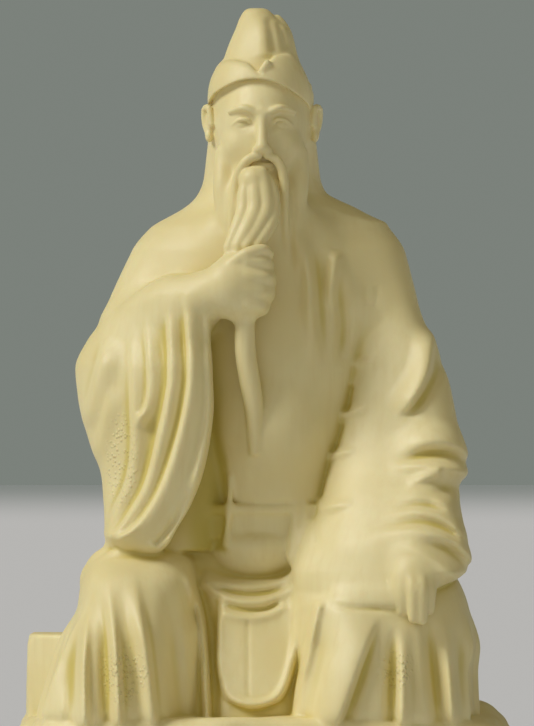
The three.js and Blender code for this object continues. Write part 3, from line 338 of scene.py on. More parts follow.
class Relief:
    """A drawing of heights on the front view (along x) or the side view (along y), over z."""

    def __init__(self, view="front"):
        self.view = view
        along = COLUMNS if view == "front" else ROWS
        self.places = along[None, :] * STEPS[:, None]
        self.heights = np.zeros(self.places.shape, np.float32)

    def draw(self, low, high, height):
        """Adds heights between two levels."""
        first, last = np.searchsorted(LEVELS, [low, high])
        rows = slice(first, last)
        self.heights[rows] += height(self.places[rows], LEVELS[rows][:, None])
        return self

    def stroke(self, points, reach, ends, profile):
        """Draws along a curve: profile(offset) is the height across it.

        An offset above 0 is on the right of someone walking the curve. The height fades out over a
        share of each end.
        """
        steps = STROKE_STEPS * (len(points) - 1)
        spots = smooth_line(points, steps)
        low, high = spots.min(axis=0) - reach, spots.max(axis=0) + reach

        def height(x, z):
            near = np.full(x.shape, np.inf)
            place, side = np.zeros(x.shape), np.zeros(x.shape)
            for n in range(steps):
                px, pz = spots[n]
                dx, dz = spots[n + 1] - spots[n]
                t = np.clip(((x - px) * dx + (z - pz) * dz) / (dx * dx + dz * dz), 0, 1)
                gap = (x - px - t * dx) ** 2 + (z - pz - t * dz) ** 2
                closer = gap < near
                near = np.where(closer, gap, near)
                place = np.where(closer, (n + t) / steps, place)
                side = np.where(closer, np.sign((x - px) * dz - (z - pz) * dx), side)
            taper = smoothstep(place, 0, ends[0]) if ends[0] else 1
            if ends[1]:
                taper = taper * smoothstep(1 - place, 0, ends[1])
            drawn = (x > low[0]) & (x < high[0]) & (near < reach * reach)
            return np.where(drawn, taper * profile(side * np.sqrt(np.where(drawn, near, 0))), 0)

        return self.draw(low[1], high[1], height)

    def fold(self, points, width, height, ends=(0.3, 0.15)):
        """A ridge (height above 0) or a groove (below 0)."""
        return self.stroke(points, BELL_REACH * width, ends, lambda offset: height * bell(offset / width))

    def pleat(self, points, steep, gentle, height, ends):
        """A ridge that falls steeply on the left of its curve and gently on the right."""

        def profile(offset):
            return height * np.where(offset < 0, bell(offset / steep), 1 - smoothstep(offset, 0, gentle))

        return self.stroke(points, max(BELL_REACH * steep, gentle), ends, profile)


def infront(full, none):
    """A share that is 1 in front of one depth and fades out towards another."""
    return lambda x, y, z: 1 - smoothstep(y, full, none)


def behind(full, none):
    """A share that is 1 behind one depth and fades out forwards, towards another."""
    return lambda x, y, z: smoothstep(y, none, full)


# The waves of the plinth's rough-hewn rim: height, number round the rim and start
RIM_WAVES = ((3, 5, 0.6), (2.2, 11, 2), (1.6, 17, 0))


def plinth():
    """The plinth follows the figure's footprint at one ledge's distance."""
    a, b, power = FOOT_HALF_WIDTH + LEDGE, FOOT_HALF_DEPTH + LEDGE, 3.4
    bottom = -PLINTH_TALL

    def distance(x, y, z):
        turn = np.arctan2(y / b, x / a)
        hewn = sum(size * np.sin(count * turn + start) for size, count, start in RIM_WAVES)
        waist = 5 * np.sin(math.pi * np.clip(-z / PLINTH_TALL, 0, 1))
        chips = 1.6 * np.sin(x / 9 + z / 13) * np.sin(y / 11 - z / 8 + 1) + 1.1 * np.sin(z / 6 + 14 * turn)
        near = ((np.abs(x) / a) ** power + (np.abs(y) / b) ** power) ** (1 / power)
        sideways = (near - 1) * min(a, b) * 1.1 - hewn + 7 + waist - chips
        wavy = 2.5 * np.sin(x / 26) * np.sin(y / 31 + 1)
        return np.maximum(smooth_max(sideways, z - wavy, 2 * EDGE_ROUND), bottom - z)

    return Solid((-a - 8, -b - 8, bottom), (a + 8, b + 8, 8), distance)


def seat(clay):
    """The rock seat, whose left end shows beside the robe, and the low mound at the right."""
    body = block((-40, 130, 44), (298, 106, 60), 8)

    def distance(x, y, z):
        hewn = 4 * np.sin(x / 43 + y / 71) * np.sin(z / 25 + x / 90) + 3 * np.sin(x / 19 + z / 31)
        chisel = 1.4 * np.sin(x / 8 + 2 * np.sin(z / 17)) * np.sin(z / 11 + x / 60)
        return body.distance(x, y, z) - (hewn + chisel) * smoothstep(y, 20, 120)

    clay.add(Solid(body.low, body.high, distance), 4)
    # Its left end is a face turned half to the side
    end = [(-20, -250, 36, 88, 84), (112, -250, 36, 87, 84)]
    clay.add(loft(end, power=9, skew=-0.8, rounding=6), 6)
    # The mound at the right and the one behind
    clay.add(ball((300, 50, -20), (44, 140, 38)), 10)
    clay.add(ball((60, 222, 8), (220, 46, 46)), 16)
    return clay


def trunk(clay):
    """The robed trunk, from the hips to the neck."""
    sections = [
        (0, 0, 72, 252, 172),
        (120, 0, 72, 234, 164),
        (200, 0, 68, 206, 154),
        (275, 3, 56, 160, 136),
        (340, 6, 48, 150, 144),
        (430, 6, 40, 150, 148),
        (520, 2, 36, 168, 142),
        (600, 0, 36, 194, 132),
        (655, 4, 36, 190, 116),
        (690, 6, 38, 168, 100),
        (716, 10, 40, 127, 86),
        (742, -1, 38, 90, 74),
        (775, -2, 28, 72, 62),
        (810, -2, 24, 64, 60),
    ]
    clay.add(loft(sections, power=2.3))
    # The belly under its coat, and the breast that the beard lies on
    coat = [
        (298, 14, 30, 110, 138),
        (390, 14, 30, 114, 150),
        (520, 10, 34, 132, 142),
        (600, 4, 36, 146, 124),
    ]
    clay.add(loft(coat, power=2.3), 6)
    clay.add(ball((10, -30, 400), (80, 100, 84)), 30)
    clay.add(ball((0, -48, 668), (92, 44, 70)), 30)
    # The hollow between the belly and the raised sleeve
    clay.cut(rope([(-58, -140, 556), (-56, -140, 420), (-58, -136, 262)], [24, 30, 28]), 14)
    return clay


def legs(clay):
    """The knees and the skirts that fall from them."""
    right = [
        (-14, -198, -85, 120, 168),
        (0, -197, -85, 118, 168),
        (60, -190, -84, 108, 160),
        (114, -184, -80, 98, 152),
        (154, -180, -74, 85, 140),
        (188, -177, -66, 83, 126),
        (212, -174, -58, 76, 106),
        (230, -170, -50, 64, 78),
        (242, -166, -46, 44, 54),
    ]
    left = [
        (-14, 171, -88, 130, 170),
        (0, 171, -88, 129, 170),
        (64, 173, -86, 124, 163),
        (104, 178, -84, 123, 157),
        (154, 178, -80, 114, 154),
        (186, 180, -74, 100, 142),
        (208, 182, -60, 80, 114),
        (224, 178, -50, 48, 66),
    ]
    clay.add(loft(right, power=2.5, skew=0.06, rounding=26), 24)
    clay.add(loft(left, power=3.3, skew=0.08, rounding=26), 24)
    # The lap and the cloth that falls between the knees
    lap = [
        (-14, -10, -84, 122, 116),
        (60, -10, -72, 118, 94),
        (120, -8, -62, 112, 76),
        (160, -8, -56, 106, 68),
        (192, -8, -52, 94, 60),
    ]
    clay.add(loft(lap, power=3, rounding=16), 16)
    return clay


def skirt_folds():
    """The folds of both skirts, which run down past the plinth's upper face."""
    folds = Relief()
    hem = -30
    # Over the figure's right knee: the rolled inner edge and the hollow beside it, then folds that
    # fade in below the knee
    folds.pleat([(-78, hem), (-83, 75), (-88, 132), (-99, 175), (-112, 206)], 7, 9, 24, (0, 0.3))
    folds.fold([(-92, 190), (-76, 140), (-69, 75), (-66, hem)], 8, -8, (0.3, 0))
    folds.fold([(-140, 196), (-130, 130), (-123, 60), (-114, hem)], 14, -17, (0.6, 0))
    folds.pleat([(-186, 212), (-176, 150), (-165, 90), (-152, hem)], 7, 22, 19, (0.6, 0))
    folds.pleat([(-222, 196), (-212, 130), (-206, 60), (-202, hem)], 7, 16, 18, (0.6, 0))
    folds.fold([(-230, 180), (-226, 120), (-225, 60), (-222, hem)], 8, -11, (0.6, 0))
    folds.pleat([(-252, 180), (-252, 120), (-254, 60), (-251, hem)], 7, 16, 18, (0.6, 0))
    folds.fold([(-266, 160), (-270, 100), (-273, 60), (-276, hem)], 8, -11, (0.6, 0))
    folds.fold([(-280, 140), (-296, 50), (-311, hem)], 9, 12, (0.5, 0))
    # The same over the left knee, under the sleeve's hem
    folds.pleat([(80, 168), (72, 140), (62, 90), (50, 40), (44, hem)], 8, 9, 20, (0.15, 0))
    folds.fold([(56, 140), (48, 95), (38, 50), (28, hem)], 8, -3, (0.3, 0))
    folds.fold([(96, 150), (76, 60), (60, hem)], 10, -7, (0.5, 0))
    folds.pleat([(158, 146), (146, 108), (128, 60), (96, hem)], 7, 66, 20, (0.5, 0))
    folds.fold([(160, 130), (138, 50), (108, hem)], 8, -6, (0.5, 0))
    folds.fold([(186, 130), (182, 70), (178, hem)], 9, -12, (0.6, 0))
    folds.pleat([(196, hem), (195, 60), (193, 140)], 7, 20, 14, (0, 0.6))
    folds.fold([(232, 150), (240, 80), (250, hem)], 10, -18, (0.6, 0))
    folds.pleat([(270, hem), (264, 60), (254, 150)], 7, 16, 14, (0, 0.6))
    folds.fold([(276, 140), (290, hem)], 8, -11, (0.5, 0))
    return folds


def apron(folds):
    """The panel between the knees, with a rounded foot, a rolled border and a middle seam."""
    half = spline([(12, 20), (24, 38), (48, 50), (90, 58), (155, 58)])
    middle = spline([(12, -14), (90, -8), (155, -4)])

    def panel(x, z):
        levels = z.ravel()
        edge = np.abs(x - middle(levels)) - half(levels)
        out = smooth_max(edge, 12 - z, 20)
        return 14 * smoothstep(-out, -5, 5) * (1 - smoothstep(z, 150, 180))

    folds.draw(0, 190, panel)
    border = [(58, 172), (54, 146), (44, 97), (31, 48), (14, 26), (-14, 19), (-40, 26), (-58, 46)]
    folds.fold(border, 6, 8, (0.1, 0.3))
    folds.fold([(-62, 148), (-64, 90), (-62, 50)], 4, 4, (0.2, 0.2))
    folds.fold([(-22, 142), (-22, 24)], 3, -1.8, (0.1, 0.1))
    folds.fold([(-62, 146), (-40, 140), (-14, 138), (12, 144), (34, 158)], 6, 4, (0.1, 0.1))
    return folds


def sash(clay):
    """The sash bulges under the belt."""
    bulge = ball((-8, -50, 240), (72, 68, 56))

    def distance(x, y, z):
        return smooth_max(bulge.distance(x, y, z), z - 260, 26)

    return clay.add(Solid(bulge.low, bulge.high, distance), 5)


def swags():
    """Two swags of cloth that hang across the lap, and the gap under them."""
    folds = Relief()
    upper = [(-90, 204), (-73, 195), (-51, 186), (-20, 181), (12, 185), (40, 197), (56, 210)]
    lower = [(-90, 190), (-77, 183), (-64, 174), (-41, 165), (-17, 162), (7, 165), (34, 177), (56, 194)]
    folds.fold(upper, 7, 9, (0.15, 0.15))
    folds.fold([(-80, 186), (-55, 177), (-20, 172), (12, 175), (38, 188)], 4, -4, (0.25, 0.25))
    folds.fold(lower, 8, 11, (0.1, 0.15))
    folds.fold([(-58, 160), (-41, 153), (-17, 150), (8, 153), (28, 164)], 5, -6, (0.2, 0.2))
    return folds


def hem_line():
    """The line where the left sleeve ends over the knee."""
    folds = Relief()
    folds.fold([(84, 162), (116, 155), (150, 153), (196, 152)], 5, -4.5, (0.4, 0.3))
    return folds


def belt(clay):
    """A broad belt with a raised upper edge, and the twisted ends of its ties at the side."""
    for z, tall, out in ((268, 20, 8), (291, 7, 14)):
        sections = [(z - tall, 6, 48, 156 + out, 143 + out), (z + tall, 6, 48, 156 + out, 143 + out)]
        clay.add(loft(sections, power=2.3, rounding=7), 5)
    clay.add(rope([(46, -97, 300), (47, -103, 268), (42, -112, 226)], [6, 7, 6]), 5)
    clay.add(rope([(57, -96, 300), (58, -101, 268), (55, -108, 222)], [6, 7, 6]), 3)
    return clay


def chest_folds():
    """The folds on the breast, beside the beard."""
    folds = Relief()
    # Two tucks of the robe that run down from the breast to the left sleeve
    folds.fold([(54, 690), (60, 650), (66, 612), (67, 565), (74, 490)], 11, 14, (0.3, 0.3))
    folds.fold([(73, 676), (78, 635), (83, 595), (87, 545), (92, 480)], 10, -8, (0.3, 0.35))
    folds.fold([(105, 660), (102, 641), (97, 602), (93, 572)], 9, 12, (0.3, 0.5))
    folds.fold([(106, 630), (112, 580), (114, 540), (107, 490)], 10, -12, (0.35, 0.3))
    # The robe's collar crosses the breast behind the beard
    folds.fold([(56, 738), (46, 690), (48, 640), (44, 600)], 6, 4, (0.1, 0.5))
    folds.fold([(-62, 748), (-63, 710), (-60, 680)], 4, -4, (0.2, 0.4))
    folds.fold([(-52, 750), (-54, 710), (-52, 690)], 4, 3, (0.2, 0.4))
    return folds


def right_arm(clay):
    """The figure's right arm, raised to the beard, and the inner side of its wide sleeve."""
    clay.add(rope([(-92, 44, 652), (-144, 22, 606), (-176, -12, 546)], [58, 60, 57]), 22)
    clay.add(rope([(-178, -22, 534), (-124, -90, 566), (-70, -136, 598)], [56, 48, 30]), 18)
    # The lining, seen in the sleeve's mouth
    lining = [
        (232, -138, -24, 78, 84),
        (262, -138, -22, 81, 84),
        (310, -134, -18, 88, 86),
        (420, -134, -16, 92, 84),
        (520, -134, -14, 86, 80),
        (585, -122, -24, 64, 62),
    ]
    clay.add(loft(lining, power=2.8, rounding=6), 8)
    # The lining's edge and the gap beside it
    clay.add(rope([(-47, -98, 336), (-49, -103, 290), (-54, -101, 242)], [3, 4, 4]), 9)
    clay.cut(rope([(-60, -112, 340), (-61, -112, 290)], [8, 7]), 7)
    return clay


def right_sleeve():
    """The wide sleeve that hangs from the raised right arm."""
    clay = Clay()
    sections = [
        (229, -182, -114, 36, 26),
        (242, -180, -115, 44, 37),
        (264, -175, -112, 51, 42),
        (300, -165, -106, 63, 45),
        (345, -159, -94, 74, 54),
        (390, -163, -86, 87, 58),
        (448, -168, -80, 97, 60),
        (490, -171, -74, 98, 60),
        (530, -164, -68, 88, 56),
        (566, -146, -78, 74, 50),
        (600, -124, -98, 52, 44),
        (622, -112, -100, 34, 34),
    ]
    clay.add(loft(sections, power=2.6, skew=-0.6, rounding=12))
    folds = Relief()
    # Overlapping pleats, each steep on its left, from the sleeve's mouth outwards
    folds.fold([(-80, 592), (-76, 440), (-88, 362), (-114, 284), (-140, 236)], 6, 9, (0.1, 0.1))
    folds.fold([(-96, 340), (-108, 304), (-132, 266), (-156, 240)], 6, -9, (0.3, 0.1))
    tail = [(-214, 246), (-185, 262), (-163, 287), (-141, 327)]
    folds.pleat([*tail, (-119, 394), (-107, 450), (-104, 500), (-112, 612)], 5, 28, 17, (0.08, 0.1))
    tail = [(-226, 250), (-205, 262), (-187, 287), (-165, 327)]
    folds.pleat([*tail, (-147, 394), (-136, 445), (-131, 490), (-136, 600)], 5, 25, 17, (0.08, 0.1))
    # The inner fold that hooks round into the third pleat
    folds.pleat([(-182, 424), (-172, 424), (-164, 442), (-161, 482), (-168, 570)], 4.5, 20, 12, (0.2, 0.2))
    tail = [(-230, 252), (-220, 264), (-210, 290), (-192, 330)]
    folds.pleat([*tail, (-184, 376), (-185, 438), (-188, 560)], 5, 26, 15, (0.12, 0.2))
    # Broad folds that round the outer side
    folds.pleat([(-256, 404), (-240, 466), (-220, 540)], 7, 32, 13, (0.3, 0.3))
    folds.pleat([(-250, 350), (-228, 410), (-212, 470)], 7, 22, 8, (0.3, 0.4))
    clay.carve(folds, infront(20, 90), 0.15)
    # The sleeve's tip curls over the thigh
    tip = [(-200, -98, 238), (-228, -84, 217), (-246, -72, 198), (-250, -66, 184)]
    clay.add(rope(tip, [16, 16, 14, 9]), 10)
    curl = [(-178, -130, 243), (-204, -124, 229), (-226, -112, 210), (-236, -100, 192)]
    clay.add(rope(curl, [8, 10, 9, 5]), 5)
    return clay


def left_sleeve():
    """The left arm hangs outwards and its wide sleeve lies over the left thigh and knee."""
    clay = Clay()
    sections = [
        (150, 156, -196, 40, 34),
        (158, 153, -186, 58, 48),
        (176, 156, -166, 82, 68),
        (192, 164, -150, 104, 81),
        (207, 171, -138, 119, 91),
        (250, 173, -112, 110, 102),
        (300, 176, -80, 103, 102),
        (346, 181, -54, 107, 98),
        (391, 184, -36, 97, 92),
        (459, 185, -20, 83, 86),
        (516, 178, -2, 72, 80),
        (562, 160, 14, 68, 74),
        (609, 146, 28, 67, 70),
        (655, 128, 40, 65, 66),
        (690, 106, 50, 61, 54),
    ]
    clay.add(loft(sections, power=2.7, skew=-0.3, rounding=6), around=50)
    folds = Relief()
    # Overlapping pleats that run in from the outer side, each steep below its edge
    folds.pleat([(241, 552), (239, 520), (230, 480), (208, 443), (184, 424)], 6, 34, 16, (0.25, 0.3))
    folds.fold([(252, 510), (246, 480), (226, 444), (198, 416)], 8, -8, (0.25, 0.35))
    first = [(312, 350), (292, 368), (281, 379), (263, 387), (242, 389), (217, 384), (199, 373), (176, 362)]
    folds.pleat(first, 13, 34, 16, (0, 0.45))
    folds.fold([(312, 350), (290, 360), (265, 370), (236, 371), (206, 364), (180, 360)], 8, -8, (0, 0.45))
    second = [(312, 328), (290, 340), (263, 349), (235, 353), (200, 353), (172, 352)]
    folds.pleat(second, 9, 14, 11, (0, 0.45))
    folds.pleat([(256, 345), (245, 342), (224, 335), (202, 327)], 6, 14, 8, (0.3, 0.4))
    folds.fold([(312, 332), (292, 328), (266, 322), (242, 316), (214, 310)], 12, -12, (0, 0.45))
    third = [(312, 236), (294, 256), (281, 270), (270, 286), (252, 303), (235, 310), (206, 306), (180, 297)]
    folds.pleat(third, 12, 22, 12, (0, 0.45))
    folds.fold([(262, 288), (238, 297), (213, 299), (186, 293)], 6, -4, (0.3, 0.4))
    fourth = [(312, 212), (294, 236), (277, 260), (256, 278), (238, 286), (213, 289), (185, 284), (160, 275)]
    folds.pleat(fourth, 10, 14, 11, (0, 0.45))
    folds.fold([(281, 246), (267, 259), (249, 270), (224, 276), (199, 273), (176, 265)], 6, -4, (0.2, 0.4))
    edge = [(312, 192), (294, 218), (284, 232), (270, 245), (249, 255), (224, 261)]
    folds.pleat([*edge, (199, 262), (165, 257), (140, 249)], 12, 14, 13, (0, 0.45))
    folds.fold([(312, 184), (294, 206), (277, 224), (259, 238), (238, 245), (210, 246)], 9, -11, (0, 0.4))
    cuff = [(286, 176), (277, 187), (267, 199), (245, 217), (224, 231), (204, 239), (180, 240)]
    folds.fold(cuff, 9, 8, (0.1, 0.35))
    # The rim along the inner side, the pockets behind it and the creases between them
    rim = [(122, 510), (118, 480), (113, 452), (100, 416), (89, 395), (79, 362)]
    folds.fold([*rim, (68, 330), (62, 300), (60, 262)], 4, 11, (0.1, 0.15))
    pockets = (
        [(124, 470), (121, 449), (117, 426)],
        [(110, 415), (103, 394), (95, 370)],
        [(90, 363), (84, 334), (78, 304)],
    )
    for pocket in pockets:
        folds.fold(pocket, 5, -15, (0.25, 0.25))
    folds.fold([(74, 296), (73, 262), (75, 228)], 6, -6, (0.3, 0.4))
    folds.fold([(108, 424), (126, 429), (152, 438)], 6, 7, (0.1, 0.5))
    folds.fold([(90, 367), (110, 371), (134, 377)], 6, 7, (0.1, 0.5))
    folds.fold([(78, 291), (98, 296), (130, 303)], 7, 8, (0.1, 0.5))
    folds.fold([(118, 500), (140, 498), (176, 502)], 8, 5, (0.2, 0.5))
    folds.fold([(148, 614), (146, 596), (148, 578)], 5, -3)
    folds.fold([(163, 610), (161, 592), (158, 576)], 5, -3)
    clay.carve(folds, infront(50, 130), 0.4)
    return clay


def right_hand(clay):
    """The hand that holds the beard, closed in front of the breast with its back to the front."""
    clay.add(rope([(-84, -126, 598), (-54, -142, 606)], [27, 33]), 12)
    clay.add(ball((-38, -140, 606), (40, 36, 49)), 12)
    clay.add(ball((-20, -134, 608), (36, 34, 47)), 10)
    fingers = [(640, 1), (619, -2), (598, 1), (579, 8)]
    for z, inward in fingers:
        finger = [(-22, -164, z + 3), (1 - inward, -157, z), (6 - inward, -136, z - 3)]
        clay.add(rope(finger, [7, 9, 10]), 8)
    thumb = [(-44, -158, 640), (-24, -164, 653), (-2, -158, 658), (8, -146, 652)]
    clay.add(rope(thumb, [8, 8, 8, 7]), 6)
    return clay


def left_hand(clay):
    """The hand that lies over the left knee with its fingers down."""
    clay.add(rope([(216, -190, 240), (214, -214, 206)], [30, 28]), 22)
    clay.add(ball((214, -236, 180), (30, 14, 36)), 12)
    fingers = [(194, 3, 152, -8), (208, 4, 140, 0), (221, 3, 138, 0), (233, 1, 152, -8)]
    for x, lean, z, out in fingers:
        finger = [(x, -240 - out, 200), (x + lean, -249 - out, 180), (x + lean, -244 - out, z)]
        clay.add(rope(finger, [9, 9.5, 8]), 4)
    return clay


def mirrored(side, points):
    """Points given for one half of the face, on either side of its middle."""
    return [(side * x - 2, y, z) for x, y, z in points]


def head(clay):
    """A face of calm, regular proportions, with its ears and the cloth that falls from the cap."""
    clay.add(ball((-2, -6, 836), (65, 80, 86)))
    clay.add(ball((-2, -28, 786), (50, 54, 46)), 26)
    cloth = [
        (728, -2, 52, 92, 50),
        (752, -2, 44, 85, 54),
        (790, -2, 34, 80, 62),
        (840, -2, 20, 75, 72),
        (900, -2, 12, 71, 78),
    ]
    clay.add(loft(cloth), 8)
    for side in (-1, 1):
        socket, eye = mirrored(side, [(26, -92, 839), (27, -62, 836)])
        clay.cut(ball(socket, (19, 15, 11)), 12)
        clay.add(ball(eye, (14, 15, 11)), 1)
        upper = mirrored(side, [(12, -74, 835), (20, -79, 842), (31, -77, 843), (43, -64, 835)])
        lower = mirrored(side, [(13, -73, 833), (25, -76, 827.5), (41, -65, 832)])
        brow = mirrored(side, [(9, -83, 853), (27, -81, 860), (47, -64, 854)])
        cheek, wing = mirrored(side, [(35, -52, 806), (8, -92, 799)])
        clay.add(rope(upper, [2, 2.8, 2.8, 2]), 1.5)
        clay.add(rope(lower, [1.5, 2, 1.5]), 2)
        clay.add(rope(brow, [3.5, 4.5, 2.5]), 6)
        clay.add(ball(cheek, (18, 20, 18)), 14)
        clay.add(ball(wing, (7, 9, 6)), 3)
        # The ear's rim, its lobe and the shell inside the rim
        rim = mirrored(side, [(72, -12, 838), (76, -8, 860), (82, 4, 858), (81, 4, 838), (76, -4, 822)])
        lobe, shell = mirrored(side, [(76, -4, 820), (74, 2, 842)])
        clay.add(rope(rim, [4, 4.5, 5, 5, 4]), 3)
        clay.add(ball(lobe, (5, 6, 8)), 4)
        clay.add(ball(shell, (6, 13, 20)), 3)
    # The nose and its tip, the lower lip and the line of the mouth
    clay.add(rope([(-2, -80, 853), (-2, -88, 828), (-2, -97, 806)], [6, 7, 9]), 7)
    clay.add(ball((-2, -98, 803), (9, 9, 7.5)), 3)
    clay.add(rope([(-15, -84, 779), (-2, -89, 777), (11, -84, 779)], [3.5, 5, 3.5]), 3)
    clay.cut(rope([(-17, -88, 785), (-2, -96, 784), (13, -88, 785)], [1.5, 2, 1.5]), 2)
    return clay


def cap(clay):
    """A soft cap: a folded band rises over the brow, and a peak is swept up behind it."""
    dome = ball((-4, 8, 874), (76, 86, 84))
    left = [(-80, 900), (-72, 914), (-64, 926), (-46, 929), (-24, 924), (-4, 910)]
    right = [(4, 920), (18, 935), (36, 938), (48, 930), (58, 912), (70, 885)]
    crest = spline([*left, *right])

    def distance(x, y, z):
        edge = 901 - 0.0062 * (x + 6) ** 2 - 0.08 * (x + 6) - 0.25 * np.maximum(y + 30, 0)
        top = crest(x.ravel())[:, 0].reshape(x.shape) + 0.2 * np.maximum(y, 0)
        return smooth_max(smooth_max(dome.distance(x, y, z), edge - z, 3), 0.8 * (z - top), 7)

    clay.add(Solid(dome.low, dome.high, distance), 1)
    clay.add(rope([(-2, -66, 914), (5, -62, 923)], [4, 5]), 6)
    peak = [
        (880, -5, 16, 64, 72),
        (905, -6, 18, 58, 62),
        (926, -6, 20, 52, 54),
        (943, -5, 24, 48, 47),
        (972, -3, 32, 38, 38),
        (990, -8, 38, 26, 26),
        (1004, -10, 42, 16, 16),
    ]
    clay.add(loft(peak, power=1.8, rounding=8), 4)
    clay.add(rope([(34, 30, 930), (28, 44, 966), (19, 46, 987)], [16, 13, 8]), 6)
    creases = Relief()
    creases.fold([(2, 930), (1, 960), (-4, 996)], 14, 5, (0.2, 0.2))
    creases.fold([(15, 936), (12, 962), (7, 994)], 6, -4, (0.2, 0.2))
    creases.fold([(34, 940), (28, 966), (20, 986)], 5, -5, (0.2, 0.2))
    clay.carve(creases, lambda x, y, z: smoothstep(z, 912, 930) * (1 - smoothstep(y, 10, 40)))
    return clay


def beard(clay):
    """Moustache, side locks and the long beard, which the fist gathers and lets fall down the belly."""
    clay.add(ball((-8, -64, 716), (48, 42, 66)), 16)
    clay.add(rope([(-8, -82, 752), (-8, -92, 716), (-16, -104, 676), (-20, -112, 630)], [16, 19, 20, 24]), 6)
    clay.add(ball((-14, -95, 757), (21, 22, 20)), 6)
    # Four strands into the fist, one out of it, and the two ends of the moustache
    locks = [
        ([(-20, -97, 764), (-26, -106, 738), (-28, -114, 714), (-36, -128, 690), (-48, -136, 662)],
         [9, 11, 11, 11, 9]),
        ([(-12, -101, 766), (-12, -111, 738), (-12, -119, 714), (-22, -132, 690), (-36, -142, 664)],
         [11, 12, 12, 12, 9]),
        ([(-4, -101, 766), (2, -110, 738), (3, -117, 714), (-8, -131, 690), (-24, -144, 664)],
         [11, 12, 12, 11, 9]),
        ([(2, -96, 764), (12, -104, 740), (14, -112, 712), (6, -128, 688), (-10, -142, 664)],
         [8, 10, 10, 10, 8]),
        ([(-26, -136, 572), (-26, -134, 516), (-19, -131, 470), (-13, -128, 430), (-12, -124, 374)],
         [13, 15, 15, 13, 9]),
        ([(-8, -94, 792), (-24, -94, 784), (-38, -89, 760), (-43, -88, 715), (-46, -86, 664)],
         [6.5, 7, 6.5, 6, 4]),
        ([(6, -94, 792), (20, -93, 784), (29, -90, 760), (30, -90, 700), (33, -86, 655), (36, -82, 612)],
         [6, 7, 6, 4]),
    ]
    for points, radii in locks:
        clay.add(rope(points, radii), 3)
    # The jaw's side locks, close under the cloth
    for side in (-1, 1):
        lock = [(-3 + side * 52, -40, 792), (-4 + side * 52, -56, 745), (-5 + side * 48, -66, 690)]
        clay.add(rope(lock, [15, 16, 10]), 10)
    return clay


def back_folds():
    """Plainer work behind: soft folds that the belt gathers."""
    folds = Relief()
    for n in range(-3, 4):
        height = -8 if n % 2 else 8
        folds.fold([(40 * n, 660), (42 * n, 480), (38 * n, 320)], 14, height, (0.5, 0.3))
        folds.fold([(40 * n, 250), (48 * n, 190), (60 * n, 110)], 14, -height, (0.3, 0.2))
    return folds


def flank_folds():
    """Plainer folds down both sides of the skirts."""
    folds = Relief("side")
    for n in range(5):
        y = -190 + 44 * n
        folds.fold([(y + 20, 150), (y + 4, 60), (y, -30)], 11, -9 if n % 2 else 9, (0.4, 0))
    return folds


def figure():
    """The whole carving, from the inside outwards."""
    clay = legs(trunk(Clay()))
    clay.carve(apron(skirt_folds()), infront(-60, 20))
    clay.carve(chest_folds(), infront(-10, 40))
    clay.carve(back_folds(), behind(110, 60))
    clay.carve(flank_folds(), lambda x, y, z: smoothstep(np.abs(x), 200, 260))
    belt(clay)
    sash(clay)
    clay.carve(swags(), infront(-60, 20), 0.1)
    right_arm(clay)
    # The right sleeve's tip runs softly into the thigh
    clay.join(right_sleeve(), lambda z: 6 + 12 * smoothstep(z, 210, 232) * (1 - smoothstep(z, 236, 262)))
    # The left sleeve runs into the breast above its mouth and into the lap below
    clay.join(left_sleeve(), lambda z: 6 + 34 * smoothstep(z, 520, 590))
    clay.add(rope([(88, -104, 230), (84, -132, 176), (88, -160, 100)], [40, 40, 28]), 34)
    clay.carve(hem_line(), infront(-60, 20), 0.5)
    head(clay)
    cap(clay)
    beard(clay)
    right_hand(clay)
    left_hand(clay)
    ground = seat(Clay())
    ground.add(plinth(), 6)
    clay.join(ground, lambda z: 4)
    # The underside is sawn off flat
    below = (-PLINTH_TALL - LEVELS)[:, None, None]
    np.maximum(clay.field, below, out=clay.field)
    return clay


def blurred(field, reach):
    """The mean of the field over a cube around each cell."""
    for axis in range(3):
        count = field.shape[axis]
        sums = np.cumsum(field, axis=axis, dtype=np.float64)
        last = np.minimum(np.arange(count) + reach, count - 1)
        first = np.maximum(np.arange(count) - reach - 1, 0)
        shape = [1, 1, 1]
        shape[axis] = count
        spans = (last - first).reshape(shape)
        field = ((np.take(sums, last, axis) - np.take(sums, first, axis)) / spans).astype(np.float32)
    return field


def sampled(field, places):
    """The field at places of the figure, blended between the cells around each."""
    k = np.interp(places[:, 2], LEVELS, np.arange(len(LEVELS)))
    step = np.interp(k, np.arange(len(LEVELS)), STEPS)
    j = places[:, 1] / step + (DEEP - 1) / 2
    i = places[:, 0] / step + (ACROSS - 1) / 2
    cells = np.clip(np.column_stack([k, j, i]), 0, np.array(field.shape) - WITHIN)
    whole = cells.astype(int)
    part = cells - whole
    total = np.zeros(len(places))
    for corner in np.ndindex(2, 2, 2):
        weight = np.prod(np.where(corner, part, 1 - part), axis=1)
        total += weight * field[tuple((whole + corner).T)]
    return total


def store(mesh, name, values):
    mesh.attributes.new(name, "FLOAT", "POINT").data.foreach_set("value", values.astype(np.float32))


